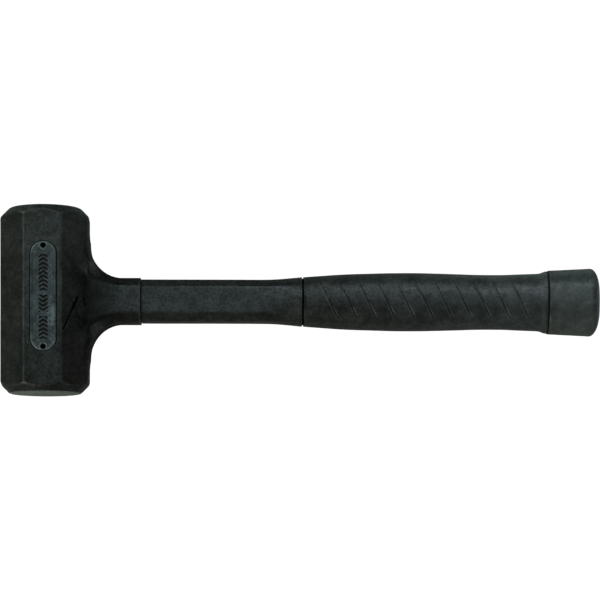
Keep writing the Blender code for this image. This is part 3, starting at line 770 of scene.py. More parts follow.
lead = face_to(rows[0], 255.2, lap, T_GRIP)[:-1][::-1]


def capped_body(name, outside, inside):
    """outside ends on the axis at the far end, inside starts on the axis."""
    n = outside[0].shape[0]
    verts, faces = [], []
    chain = list(inside) + list(outside)
    for ring in chain:
        verts.extend(ring)
    for i in range(len(chain) - 1):
        for j in range(n):
            k = (j + 1) % n
            faces.append((i * n + j, i * n + k, (i + 1) * n + k,
                          (i + 1) * n + j))
    bm = bmesh.new()
    vs = [bm.verts.new(np.asarray(v) * MM) for v in verts]
    for f in faces:
        bm.faces.new([vs[i] for i in f])
    for ring_start, x in ((0, inside[0][0, 0]),
                          (len(chain) - 1, outside[-1][0, 0])):
        c = bm.verts.new((x * MM, 0.0, AXIS * MM))
        for j in range(n):
            k = (j + 1) % n
            bm.faces.new((vs[ring_start * n + j], vs[ring_start * n + k], c))
    bmesh.ops.recalc_face_normals(bm, faces=bm.faces)
    if bm.calc_volume(signed=True) < 0:
        bmesh.ops.reverse_faces(bm, faces=bm.faces)
    mesh = bpy.data.meshes.new(name)
    bm.to_mesh(mesh)
    bm.free()
    mesh.shade_smooth()
    obj = bpy.data.objects.new(name, mesh)
    bpy.context.scene.collection.objects.link(obj)
    return obj


butt = capped_body("butt_cap_skin", rows, inner + lead)


def butt_detail(P, N):
    z = P[:, 2] - AXIS
    r = handle_skin(P)
    t = np.arctan2(z, P[:, 1])
    outside = smooth(-1.9, -1.3, r - polar_oval(t, 16.1, 13.8, 2.4))
    outside = np.maximum(outside, smooth(276.0, 277.0, P[:, 0]))
    mask = outside * smooth(255.3, 256.3, P[:, 0])
    out = 0.05 * fbm(P, 11.0, 63, 3) + 0.012 * fbm(P, 2.4, 67, 2)
    out -= 0.08 * dents(P, 7.0, 65, 0.12, 1.3)
    out += 0.05 * np.exp(-(z / 0.22) ** 2) * smooth(0.5, 0.8, np.abs(N[:, 1]))
    out = np.where(P[:, 0] > 281.2, np.minimum(out, 0.0), out)
    return out * mask


displace(butt, butt_detail)

# ------------------------------------------------------------------ plate
PLATE_VOXEL = 0.21
plate = remeshed_copy("label_plate_skin", "label_plate", PLATE_VOXEL)


def plate_sdf(P):
    x, y, z = P[:, 0] - PLATE_X, P[:, 1] - PLATE_Y, P[:, 2]
    edge = pill(x, y, PLATE_HALF, PLATE_RADIUS)
    d = smax(edge, z - PLATE_TOP, 0.6)
    d = smax(d, PLATE_BOTTOM - z, 0.2)
    hole = np.sqrt(x * x + (np.abs(y) - PIN_Y) ** 2) - 1.4
    return smax(d, -hole, 0.28)


pull_onto(plate, plate_sdf, steps=6, limit=0.2)


# a band of plain chevrons down the middle of the plate, in three runs
MARK_HALF_WIDTH, MARK_PITCH, MARK_LEAN = 2.25, 2.15, 0.62
MARK_RUNS = ((-21.6, -10.2, 1.0), (-8.2, 0.6, -1.0), (2.6, 20.9, 1.0))


def chevrons(x, y):
    """1 on the raised strokes of the band, 0 between them."""
    out = np.zeros(len(x))
    for y0, y1, way in MARK_RUNS:
        w = ((y - y0 + way * MARK_LEAN * np.abs(x)) / MARK_PITCH) % 1.0
        stroke = smooth(0.31, 0.22, np.abs(w - 0.5))
        box = smooth(MARK_HALF_WIDTH + 0.1, MARK_HALF_WIDTH - 0.15, np.abs(x)) \
            * smooth(y0 - 0.1, y0 + 0.15, y) * smooth(y1 + 0.1, y1 - 0.15, y)
        out = np.maximum(out, stroke * box)
    return out


def plate_detail(P, N):
    x, y = P[:, 0] - PLATE_X, P[:, 1] - PLATE_Y
    top = smooth(0.4, 0.8, N[:, 2])
    edge = -pill(x, y, PLATE_HALF, PLATE_RADIUS)
    hole = np.sqrt(x * x + (np.abs(y) - PIN_Y) ** 2)
    out = -0.14 * smooth(0.85, 1.2, edge)                 # field inside rim
    boss = smooth(2.35, 2.05, hole)
    out = out * (1.0 - boss) + 0.03 * boss
    out += 0.10 * chevrons(x, y)
    out += 0.016 * fbm(P, 5.0, 71, 3)
    rub = smooth(5.8, 4.0, np.abs(y + 9.9)) * smooth(3.2, 1.6, np.abs(x - 4.2))
    out -= rub * 0.05 * np.clip(fbm(P, 1.6, 75, 2) + 0.2, 0.0, 1.0)
    return out * top


displace(plate, plate_detail, plate_sdf)

# ------------------------------------------------------------------ steel
def turned_body(name, profile, axis="Z", origin=(0.0, 0.0, 0.0), around=48):
    """A closed solid turned from (radius, height) points in mm, top first."""
    bm = bmesh.new()
    rings = []
    for r, h in profile:
        if r < 1e-6:
            rings.append([bm.verts.new((0.0, 0.0, h))])
            continue
        rings.append([bm.verts.new((r * math.cos(2 * math.pi * i / around),
                                    r * math.sin(2 * math.pi * i / around),
                                    h)) for i in range(around)])
    closed = profile[0][0] > 1e-6
    pairs = list(zip(rings, rings[1:]))
    if closed:
        pairs.append((rings[-1], rings[0]))
    for a, b in pairs:
        for i in range(around):
            j = (i + 1) % around
            if len(a) == 1:
                bm.faces.new((a[0], b[i], b[j]))
            elif len(b) == 1:
                bm.faces.new((a[i], b[0], a[j]))
            else:
                bm.faces.new((a[i], b[i], b[j], a[j]))
    bmesh.ops.recalc_face_normals(bm, faces=bm.faces)
    if bm.calc_volume(signed=True) < 0:
        bmesh.ops.reverse_faces(bm, faces=bm.faces)
    turn = Matrix.Identity(4)
    if axis == "X":
        turn = Matrix.Rotation(math.pi / 2, 4, "Y")
    elif axis == "Y":
        turn = Matrix.Rotation(-math.pi / 2, 4, "X")
    bm.transform(Matrix.Scale(MM, 4) @ Matrix.Translation(origin) @ turn)
    mesh = bpy.data.meshes.new(name)
    bm.to_mesh(mesh)
    bm.free()
    mesh.shade_smooth()
    mesh.set_sharp_from_angle(angle=math.radians(38))
    obj = bpy.data.objects.new(name, mesh)
    bpy.context.scene.collection.objects.link(obj)
    return obj


def arc_points(r, h, size, steps=4):
    """A quarter round at the top outer corner (r, h), inner point first."""
    return [(r - size + size * math.sin(a), h - size + size * math.cos(a))
            for a in (math.pi / 2 * k / steps for k in range(steps + 1))]


PINS = {}
for label, sign in (("upper", 1.0), ("lower", -1.0)):
    top = PLATE_TOP - 1.0
    profile = [(0.0, top), (0.35, top - 0.01), (0.7, top - 0.06)] \
        + arc_points(1.1, top - 0.08, 0.22) \
        + [(1.1, top - 1.55), (1.0, top - 1.62), (1.1, top - 1.70),
           (1.1, top - 1.75), (0.9, top - 1.9), (0.0, top - 1.9)]
    pin = turned_body("label_pin_%s_turned" % label, profile, "Z",
                      (PLATE_X, PLATE_Y + sign * PIN_Y, 0.0), 32)
    PINS[label] = pin
    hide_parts("label_pin_" + label)
    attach(pin, "mallet")

# each shot ball: cast, so slightly out of round, with small flats and pits
for node in sorted(n for n in NODES if n.startswith("shot_")):
    lo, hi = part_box(node)
    centre = [(a + b) / 2.0 for a, b in zip(lo, hi)]
    bm = bmesh.new()
    bmesh.ops.create_icosphere(bm, subdivisions=4,
                               radius=4.88)
    mesh = bpy.data.meshes.new(node + "_cast")
    bm.to_mesh(mesh)
    bm.free()
    Q = read_points(mesh)
    N = Q / np.linalg.norm(Q, axis=1)[:, None]
    seat = Q + np.array(centre)[None, :] / MM
    Q = Q + N * (-0.03 + 0.03 * value_noise(seat, 3.4, 101)
                 - 0.05 * dents(seat, 4.2, 103, 0.35, 0.9)
                 - 0.10 * smooth(4.70, 4.86, np.abs(Q @ np.array(
                     (0.36, 0.48, 0.80)))))[:, None]
    write_points(mesh, (Q + np.array(centre) / MM) * MM)
    mesh.shade_smooth()
    ball = bpy.data.objects.new(node + "_cast", mesh)
    bpy.context.scene.collection.objects.link(ball)
    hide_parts(node)
    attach(ball, "shot_lane_%s" % node.split("_")[1])

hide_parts("head_jacket")
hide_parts("shaft_cover")
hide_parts("grip_sleeve")
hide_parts("butt_cap")
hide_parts("label_plate")
for piece, finish in ((head, "head_urethane"), (shaft, "head_urethane"),
                      (grip, "grip_urethane"), (butt, "grip_urethane"),
                      (plate, "plate")):
    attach(piece, "mallet")


# ------------------------------------------------------------------ materials
class Nodes:
    """Small helper that keeps a node tree readable."""

    def __init__(self, name):
        self.mat = bpy.data.materials.new(name)
        self.mat.use_nodes = True
        self.tree = self.mat.node_tree
        self.tree.nodes.clear()
        self.out = self.node("ShaderNodeOutputMaterial")
        self.bsdf = self.node("ShaderNodeBsdfPrincipled")
        self.link(self.bsdf.outputs[0], self.out.inputs["Surface"])
        self.coords = self.node("ShaderNodeTexCoord").outputs["Object"]

    def node(self, kind, **settings):
        n = self.tree.nodes.new(kind)
        for k, v in settings.items():
            setattr(n, k, v)
        return n

    def link(self, a, b):
        self.tree.links.new(a, b)

    def put(self, socket, value):
        if isinstance(value, bpy.types.NodeSocket):
            self.link(value, socket)
        else:
            socket.default_value = value

    def math(self, op, a, b=0.0, c=None, clamp=False):
        n = self.node("ShaderNodeMath", operation=op, use_clamp=clamp)
        self.put(n.inputs[0], a)
        self.put(n.inputs[1], b)
        if c is not None:
            self.put(n.inputs[2], c)
        return n.outputs[0]

    def scaled(self, scale, rotation=(0, 0, 0)):
        n = self.node("ShaderNodeMapping")
        self.link(self.coords, n.inputs["Vector"])
        n.inputs["Rotation"].default_value = rotation
        n.inputs["Scale"].default_value = scale if isinstance(
            scale, tuple) else (scale,) * 3
        return n.outputs[0]

    def noise(self, scale, detail=3.0, rough=0.5, distortion=0.0, vector=None):
        n = self.node("ShaderNodeTexNoise")
        self.link(vector if vector is not None else self.coords,
                  n.inputs["Vector"])
        n.inputs["Scale"].default_value = scale
        n.inputs["Detail"].default_value = detail
        n.inputs["Roughness"].default_value = rough
        n.inputs["Distortion"].default_value = distortion
        return n.outputs["Fac"]

    def voronoi(self, scale, feature="F1", vector=None):
        n = self.node("ShaderNodeTexVoronoi", feature=feature)
        self.link(vector if vector is not None else self.coords,
                  n.inputs["Vector"])
        n.inputs["Scale"].default_value = scale
        return n.outputs["Distance"]

    def ramp(self, value, lo, hi, out_lo=0.0, out_hi=1.0):
        n = self.node("ShaderNodeMapRange", interpolation_type="SMOOTHSTEP")
        self.put(n.inputs["Value"], value)
        n.inputs["From Min"].default_value = lo
        n.inputs["From Max"].default_value = hi
        n.inputs["To Min"].default_value = out_lo
        n.inputs["To Max"].default_value = out_hi
        return n.outputs[0]

    def mix(self, fac, a, b):
        n = self.node("ShaderNodeMix", data_type="RGBA")
        self.put(n.inputs["Factor"], fac)
        for socket, value in ((n.inputs[6], a), (n.inputs[7], b)):
            if isinstance(value, bpy.types.NodeSocket):
                self.link(value, socket)
            else:
                socket.default_value = (*value, 1.0)
        return n.outputs[2]

    def bump(self, height, distance, strength=1.0, normal=None):
        n = self.node("ShaderNodeBump")
        n.inputs["Strength"].default_value = strength
        n.inputs["Distance"].default_value = distance
        self.link(height, n.inputs["Height"])
        if normal is not None:
            self.link(normal, n.inputs["Normal"])
        return n.outputs[0]

    def edges(self, radius):
        """About 0 on flats and 1 on convex edges tighter than radius."""
        bevel = self.node("ShaderNodeBevel", samples=6)
        bevel.inputs["Radius"].default_value = radius
        geo = self.node("ShaderNodeNewGeometry")
        dot = self.node("ShaderNodeVectorMath", operation="DOT_PRODUCT")
        self.link(bevel.outputs[0], dot.inputs[0])
        self.link(geo.outputs["Normal"], dot.inputs[1])
        return self.ramp(dot.outputs["Value"], 0.999, 0.94)


def urethane(name, base, worn, rough, scuff=1.0, seed=0.0, flats=0.0,
             grey_ramp_x=((0.0, 0.0), (1.0, 0.0)), pale_wear_and_light=(0.20, 0.235, 0.24),
             faces=0.0, neck=False, rim=0.0, seam_painted_shade=(), strokes=(),
             grooves=None, flank_painted_sheen=None):
    """Moulded urethane.

    flats is how much the front and back flats have gone dull from rubbing;
    haze gives (x, amount) at two stations for a pale grey that grows between;
    faces is scuffing plus painted light on the strike faces; neck paints shade
    into the neck's hollow by cutting its sheen and paints highlights on the
    head; rim is a painted highlight round the end of the butt; hidden gives
    (edge, inner, level) stations past which a seam's tongue is painted dark as
    shade; strokes are dark score marks as (from, to, half width) in mm;
    grooves is (first, pitch, slant, count, reach) of the grip's grooves;
    fringe is (x0, v0, x1, v1), a painted reflection along the upper flanks.
    """
    m = Nodes(name)
    texture = m.node("ShaderNodeTexCoord")
    along = m.node("ShaderNodeSeparateXYZ")
    m.link(texture.outputs["Object"], along.inputs[0])
    facing = m.node("ShaderNodeSeparateXYZ")
    m.link(texture.outputs["Normal"], facing.inputs[0])
    up = m.ramp(m.math("ABSOLUTE", facing.outputs["Z"]), 0.90, 0.985)
    (x0, v0), (x1, v1) = grey_ramp_x
    wear_and_painted_light = m.ramp(along.outputs["X"], x0 * MM, x1 * MM, v0, v1)
    if neck:        # the up-facing flats get less of the pale grey toward the lower end of the head
        up = m.math("MULTIPLY", up, m.ramp(along.outputs["Y"], -0.040, 0.006,
                                           0.15, 1.0))
    wear_and_painted_light = m.math("ADD", wear_and_painted_light, m.math("MULTIPLY", up, flats))
    if faces:
        # strike faces lighter: their scuffing, plus painted light standing in for light
        # from below
        struck = m.ramp(m.math("ABSOLUTE", facing.outputs["Y"]), 0.80, 0.94)
        struck = m.math("MULTIPLY", struck, m.ramp(m.math(
            "ABSOLUTE", along.outputs["Y"]), 0.0444, 0.0455))
        wear_and_painted_light = m.math("ADD", wear_and_painted_light, m.math("MULTIPLY", struck, faces))
    if neck:        # painted light on the upper part of the side facet
        side = m.math("MULTIPLY", m.ramp(facing.outputs["X"], 0.35, 0.60),
                      m.ramp(facing.outputs["Z"], -0.05, 0.15))
        side = m.math("MULTIPLY", side, m.ramp(along.outputs["Y"], 0.004,
                                               0.032))
        wear_and_painted_light = m.math("ADD", wear_and_painted_light, m.math("MULTIPLY", side, 0.11))
        # painted highlight lines along the edges of the flats and on the collar's end
        band = m.math("MULTIPLY", m.ramp(m.math("ABSOLUTE",
                                                facing.outputs["Z"]),
                                         0.78, 0.86),
                      m.ramp(m.math("ABSOLUTE", facing.outputs["Z"]),
                             0.992, 0.965))
        band = m.math("MULTIPLY", band, m.ramp(
            m.math("ABSOLUTE", facing.outputs["Y"]), 0.35, 0.15))
        band = m.math("MULTIPLY", band, m.ramp(along.outputs["X"],
                                               0.0125, 0.0115))
        band = m.math("MULTIPLY", band, m.ramp(
            m.noise(170.0, 3.0, 0.6), 0.32, 0.62, 0.35, 1.0))
        wear_and_painted_light = m.math("ADD", wear_and_painted_light, m.math("MULTIPLY", band, 0.20))
        wear_and_painted_light = m.math("ADD", wear_and_painted_light, m.ramp(along.outputs["X"],
                                            0.0477, 0.0483, 0.0, 0.13))
    if flank_painted_sheen:
        # painted reflection: pale grey on the flanks facing up the picture
        fx0, fv0, fx1, fv1 = flank_painted_sheen
        wear_and_painted_light = m.math("ADD", wear_and_painted_light, m.math(
            "MULTIPLY", m.ramp(along.outputs["X"], fx0 * MM, fx1 * MM,
                               fv0, fv1),
            m.ramp(facing.outputs["Y"], 0.50, 0.88)))
    if rim:
        # painted highlight round the rounded end of the butt
        wear_and_painted_light = m.math("ADD", wear_and_painted_light, m.ramp(along.outputs["X"], 0.2785, 0.2803,
                                            0.0, rim))
    shift = m.node("ShaderNodeVectorMath", operation="ADD")
    m.link(m.coords, shift.inputs[0])
    shift.inputs[1].default_value = (seed, seed * 0.7, seed * 1.3)
    m.coords = shift.outputs[0]
    cloud = m.noise(70.0, 4.0, 0.55)
    patch = m.noise(260.0, 5.0, 0.62)
    speck = m.noise(2600.0, 2.0, 0.5)
    # fine scores in three directions
    scores = None
    for i, (rot, long, fine) in enumerate((((0.0, 0.0, 0.5), 55.0, 2100.0),
                                           ((0.4, 0.2, 1.9), 70.0, 2600.0),
                                           ((1.1, 0.5, 2.7), 60.0, 1900.0))):
        v = m.scaled((long, fine, fine), rot)
        line = m.noise(1.0, 1.0, 0.4, 0.0, v)
        line = m.ramp(line, 0.70, 0.78)
        where = m.noise(150.0 + 60 * i, 2.0, 0.5, 0.4)
        line = m.math("MULTIPLY", line, m.ramp(where, 0.50, 0.66))
        scores = line if scores is None else m.math("MAXIMUM", scores, line)
    scores = m.math("MULTIPLY", scores, scuff)
    dull = m.ramp(patch, 0.50, 0.74)
    dull = m.math("MULTIPLY", dull, m.ramp(cloud, 0.36, 0.66))
    edge = m.edges(0.0011)
    edge = m.math("MULTIPLY", edge, m.ramp(patch, 0.35, 0.62, 0.25, 1.0))
    colour = m.mix(m.ramp(cloud, 0.3, 0.7), base,
                   tuple(0.72 * b + 0.28 * w for b, w in zip(base, worn)))
    colour = m.mix(m.math("MULTIPLY", dull, 0.40 * scuff), colour, worn)
    colour = m.mix(m.math("MULTIPLY", m.ramp(speck, 0.62, 0.80), 0.35),
                   colour, worn)
    colour = m.mix(m.math("MULTIPLY", scores, 0.55), colour,
                   tuple(1.5 * w for w in worn))
    colour = m.mix(m.math("MULTIPLY", edge, 0.45), colour,
                   tuple(1.25 * w for w in worn))
    mottled = m.math("ADD", m.ramp(patch, 0.3, 0.7, 0.72, 1.12),
                     m.ramp(cloud, 0.3, 0.7, -0.10, 0.14))
    wear_and_painted_light = m.math("MULTIPLY", wear_and_painted_light, mottled, clamp=True)
    # mix in the pale grey: wear on the flats and strike faces, plus painted highlights and
    # reflections
    colour = m.mix(wear_and_painted_light, colour, pale_wear_and_light)
    dark_marks_and_shade = None
    # score marks painted dark along their line; they lose sheen there too
    for (ax, ay), (bx, by), half in strokes:
        ax, ay, bx, by, half = (v * MM for v in (ax, ay, bx, by, half))
        dx, dy = bx - ax, by - ay
        rx = m.math("SUBTRACT", along.outputs["X"], ax)
        ry = m.math("SUBTRACT", along.outputs["Y"], ay)
        t = m.math("ADD", m.math("MULTIPLY", rx, dx),
                   m.math("MULTIPLY", ry, dy))
        t = m.math("MULTIPLY", t, 1.0 / (dx * dx + dy * dy), clamp=True)
        ex = m.math("SUBTRACT", rx, m.math("MULTIPLY", t, dx))
        ey = m.math("SUBTRACT", ry, m.math("MULTIPLY", t, dy))
        far = m.math("POWER", m.math("ADD", m.math("MULTIPLY", ex, ex),
                                     m.math("MULTIPLY", ey, ey)), 0.5)
        ragged = m.math("MULTIPLY", far, m.ramp(
            m.noise(900.0, 3.0, 0.6), 0.3, 0.7, 1.55, 0.65))
        line = m.math("MULTIPLY", m.ramp(ragged, half * 1.35, half * 0.5),
                      m.ramp(facing.outputs["Z"], 0.0, 0.2))
        dark_marks_and_shade = line if dark_marks_and_shade is None else m.math("MAXIMUM", dark_marks_and_shade, line)
    if dark_marks_and_shade is not None:
        colour = m.mix(dark_marks_and_shade, colour, (0.0012, 0.0012, 0.0012))
    groove_highlight = None
    if grooves:
        # the same run of slanted grooves as the geometry: painted shade in the steep
        # side, painted highlight along the laid side
        first, pitch, slant, count, reach = grooves
        u = m.math("ADD", along.outputs["X"],
                   m.math("MULTIPLY", along.outputs["Y"], slant))
        u = m.math("ADD", u, m.math("MULTIPLY", m.math(
            "SUBTRACT", m.noise(45.0, 2.0, 0.5), 0.5), 0.0009))
        turn = m.math("MULTIPLY", m.math("SUBTRACT", u, first * MM),
                      1.0 / (pitch * MM))
        part = m.math("SUBTRACT", m.math("FRACT", m.math("ADD", turn, 0.5)),
                      0.5)
        off = m.math("MULTIPLY", part, pitch * MM)
        span = m.math("MULTIPLY", m.ramp(turn, -0.48, -0.40),
                      m.ramp(turn, count - 0.52, count - 0.60))
        span = m.math("MULTIPLY", span, m.ramp(
            m.math("ABSOLUTE", along.outputs["Y"]), reach * MM,
            (reach - 2.2) * MM))
        span = m.math("MULTIPLY", span, m.ramp(
            m.noise(120.0, 3.0, 0.6), 0.30, 0.55, 0.25, 1.0))
        span = m.math("MULTIPLY", span, m.ramp(
            facing.outputs["Z"], 0.15, 0.4))
        # painted shade along the steep side of each groove
        dark = m.math("MULTIPLY", span, m.ramp(m.math("ABSOLUTE", m.math(
            "SUBTRACT", off, 0.00024)), 0.00056, 0.00022))
        # painted highlight along the laid side of each groove
        groove_highlight = m.math("MULTIPLY", span, m.ramp(m.math("ABSOLUTE", m.math(
            "ADD", off, 0.00070)), 0.00062, 0.00018))
        colour = m.mix(m.math("MULTIPLY", dark, 0.50), colour,
                       (0.0012, 0.0012, 0.0012))
        colour = m.mix(m.math("MULTIPLY", groove_highlight, 0.14), colour, pale_wear_and_light)
        # the painted groove shade also cuts the sheen
        dark_marks_and_shade = m.math("MULTIPLY", dark, 0.66)
        duller = m.ramp(along.outputs["X"], 0.150, 0.220, 0.16, 0.0)
        dark_marks_and_shade = m.math("MAXIMUM", dark_marks_and_shade, duller)
    for edge_x, inner_x, low in seam_painted_shade:
        # painted shade: the tongue in each seam between pieces is painted near black
        colour = m.mix(m.ramp(along.outputs["X"], inner_x * MM, edge_x * MM,
                              1.0 - low, 0.0), colour,
                       (0.0008, 0.0008, 0.0008))
    m.link(colour, m.bsdf.inputs["Base Color"])
    r = m.math("ADD", m.ramp(cloud, 0.25, 0.75, rough - 0.05, rough + 0.06),
               m.math("MULTIPLY", dull, 0.10))
    r = m.math("ADD", r, m.math("MULTIPLY", scores, 0.16))
    r = m.math("SUBTRACT", r, m.math("MULTIPLY", edge, 0.05))
    m.link(r, m.bsdf.inputs["Roughness"])
    m.bsdf.inputs["IOR"].default_value = 1.5
    grit = m.noise(820.0, 3.0, 0.62)
    level = m.ramp(m.math("ADD", m.math("MULTIPLY", grit, 0.6),
                          m.math("MULTIPLY", patch, 0.4)),
                   0.36, 0.64, 0.25, 0.77)
    if neck:
        # painted shade: the sheen is cut in the neck's hollow, on the neck's sides facing
        # up and down the picture, and on the lower chamfer where a glint showed
        hollow = m.math("MULTIPLY", m.ramp(along.outputs["X"], 0.0430, 0.0270),
                        m.ramp(along.outputs["X"], 0.0185, 0.0215))
        hollow = m.math("MULTIPLY", hollow,
                        m.ramp(facing.outputs["Z"], 0.68, 0.92))
        level = m.math("MULTIPLY", level, m.math(
            "SUBTRACT", 1.0, m.math("MULTIPLY", hollow, 0.80)))
        ledge = m.math("MULTIPLY", m.ramp(along.outputs["X"], 0.0215, 0.030),
                       m.ramp(facing.outputs["Y"], 0.25, 0.55))
        level = m.math("MULTIPLY", level, m.math(
            "SUBTRACT", 1.0, m.math("MULTIPLY", ledge, 0.68)))
        under = m.math("MULTIPLY", m.ramp(along.outputs["X"], 0.0215, 0.030),
                       m.ramp(facing.outputs["Y"], -0.25, -0.55))
        level = m.math("MULTIPLY", level, m.math(
            "SUBTRACT", 1.0, m.math("MULTIPLY", under, 0.30)))
        turned = m.math("MULTIPLY", m.ramp(facing.outputs["Y"], -0.35, -0.6),
                        m.ramp(facing.outputs["Y"], -0.97, -0.90))
        turned = m.math("MULTIPLY", turned, m.ramp(along.outputs["Y"],
                                                   -0.0395, -0.0425))
        level = m.math("MULTIPLY", level, m.math(
            "SUBTRACT", 1.0, m.math("MULTIPLY", turned, 0.38)))
        # the sheen is cut toward both ends of the head
        level = m.math("MULTIPLY", level, m.ramp(
            along.outputs["Y"], -0.032, -0.004, 0.78, 1.0))
        level = m.math("MULTIPLY", level, m.ramp(
            along.outputs["Y"], 0.024, 0.040, 1.0, 0.88))
    if dark_marks_and_shade is not None:
        level = m.math("MULTIPLY", level, m.math(
            "SUBTRACT", 1.0, m.math("MULTIPLY", dark_marks_and_shade, 0.93)))
    for edge_x, inner_x, low in seam_painted_shade:
        # painted shade: the sheen on each seam's tongue is cut too
        level = m.math("MULTIPLY", level, m.ramp(
            along.outputs["X"], inner_x * MM, edge_x * MM, low, 1.0))
    m.link(level, m.bsdf.inputs["Specular IOR Level"])
    grain = m.math("ADD", m.noise(1500.0, 3.0, 0.6),
                   m.math("MULTIPLY", m.noise(420.0, 3.0, 0.5), 1.3))
    n1 = m.bump(grain, 0.00004, 0.55)
    n2 = m.bump(m.math("SUBTRACT", 1.0, scores), 0.00003, 0.5, n1)
    m.link(n2, m.bsdf.inputs["Normal"])
    return m.mat


def plate_material():
    m = Nodes("plate_grey_enamel")
    base, light = (0.022, 0.029, 0.034), (0.150, 0.190, 0.212)
    cloud = m.noise(190.0, 4.0, 0.62)
    blotch = m.noise(520.0, 4.0, 0.65)
    fine = m.noise(1500.0, 3.0, 0.6)
    colour = m.mix(m.ramp(cloud, 0.38, 0.62), tuple(0.65 * b for b in base),
                   tuple(2.0 * b for b in base))
    colour = m.mix(m.math("MULTIPLY", m.ramp(blotch, 0.5, 0.72), 0.5), colour,
                   light)
    place = m.node("ShaderNodeVectorMath", operation="SUBTRACT")
    m.link(m.coords, place.inputs[0])
    place.inputs[1].default_value = (PLATE_X * MM, PLATE_Y * MM, 0.0)
    sep = m.node("ShaderNodeSeparateXYZ")
    m.link(place.outputs[0], sep.inputs[0])
    sx, sy = sep.outputs["X"], sep.outputs["Y"]
    # rubbed patch at the lower right of the plate
    px = m.ramp(m.math("ABSOLUTE", m.math("SUBTRACT", sx, 0.0040)),
                0.0034, 0.0016)
    py = m.ramp(m.math("ABSOLUTE", m.math("ADD", sy, 0.0099)),
                0.0072, 0.0034)
    rub = m.math("MULTIPLY", m.math("MULTIPLY", px, py),
                 m.ramp(m.noise(700.0, 4.0, 0.68), 0.40, 0.60))
    colour = m.mix(m.math("MULTIPLY", rub, 0.85), colour, light)
    # painted highlight round the ends of the rim and round both holes
    ex = m.math("MULTIPLY", sx, sx)
    ey = m.math("MAXIMUM", m.math("SUBTRACT", m.math("ABSOLUTE", sy),
                                  (PLATE_HALF - PLATE_RADIUS) * MM), 0.0)
    rim = m.math("POWER", m.math("ADD", ex, m.math("MULTIPLY", ey, ey)), 0.5)
    rim = m.ramp(rim, (PLATE_RADIUS - 1.5) * MM, (PLATE_RADIUS - 0.6) * MM)
    rim = m.math("MULTIPLY", rim, m.ramp(m.math("ABSOLUTE", sy), 0.020,
                                         0.0235))
    ry = m.math("SUBTRACT", m.math("ABSOLUTE", sy), PIN_Y * MM)
    ring = m.math("POWER", m.math("ADD", ex, m.math("MULTIPLY", ry, ry)), 0.5)
    ring = m.ramp(ring, 0.0026, 0.0019)
    rim = m.math("MULTIPLY", m.math("MAXIMUM", rim, ring),
                 m.ramp(m.noise(420.0, 3.0, 0.6), 0.35, 0.6, 0.35, 1.0))
    colour = m.mix(m.math("MULTIPLY", rim, 0.62), colour, light)
    # dark paint on the chevrons
    ax = m.math("ABSOLUTE", sx)
    marks = None
    for y0, y1, way in MARK_RUNS:
        lean = m.math("MULTIPLY", ax, way * MARK_LEAN)
        w = m.math("ADD", m.math("SUBTRACT", sy, y0 * MM), lean)
        w = m.math("FRACT", m.math("ADD", m.math(
            "MULTIPLY", w, 1000.0 / MARK_PITCH), 64.0))
        w = m.math("ABSOLUTE", m.math("SUBTRACT", w, 0.5))
        stroke = m.ramp(w, 0.32, 0.24)
        span = m.math("MULTIPLY", m.ramp(sy, (y0 - 0.1) * MM, (y0 + 0.1) * MM),
                      m.ramp(sy, (y1 + 0.1) * MM, (y1 - 0.1) * MM))
        one = m.math("MULTIPLY", stroke, span)
        marks = one if marks is None else m.math("MAXIMUM", marks, one)
    band = m.ramp(ax, (MARK_HALF_WIDTH + 0.1) * MM,
                  (MARK_HALF_WIDTH - 0.1) * MM)
    marks = m.math("MULTIPLY", marks, band)
    thin = m.ramp(blotch, 0.62, 0.78)                 # where the paint is thin
    marks = m.math("MULTIPLY", marks,
                   m.math("SUBTRACT", 1.0, m.math("MULTIPLY", thin, 0.6)))
    colour = m.mix(marks, colour, (0.0022, 0.0023, 0.0024))
    # painted highlight along the plate's bevelled edges
    edge = m.edges(0.0005)
    colour = m.mix(m.math("MULTIPLY", edge, 0.6), colour, light)
    m.link(colour, m.bsdf.inputs["Base Color"])
    r = m.math("ADD", m.ramp(cloud, 0.3, 0.7, 0.30, 0.38),
               m.math("ADD", m.math("MULTIPLY", rub, 0.10),
                      m.math("MULTIPLY", marks, 0.28)))
    m.link(r, m.bsdf.inputs["Roughness"])
    sheen = m.math("SUBTRACT", 0.5, m.math("MULTIPLY", marks, 0.35))
    m.link(sheen, m.bsdf.inputs["Specular IOR Level"])
    m.link(m.bump(fine, 0.00002, 0.5), m.bsdf.inputs["Normal"])
    return m.mat


def steel(name, colour, rough, grain, stretch=(1.0, 1.0, 1.0), dark=0.6):
    m = Nodes(name)
    v = m.scaled(tuple(grain * s for s in stretch))
    lines = m.noise(1.0, 3.0, 0.6, 0.0, v)
    cloud = m.noise(130.0, 4.0, 0.6)
    c = m.mix(m.ramp(cloud, 0.35, 0.7), colour,
              tuple(dark * x for x in colour))
    m.link(c, m.bsdf.inputs["Base Color"])
    m.bsdf.inputs["Metallic"].default_value = 1.0
    m.link(m.math("ADD", m.ramp(lines, 0.3, 0.7, rough - 0.08, rough + 0.1),
                  m.math("MULTIPLY", cloud, 0.06)),
           m.bsdf.inputs["Roughness"])
    m.link(m.bump(lines, 0.00002, 0.4), m.bsdf.inputs["Normal"])
    return m.mat


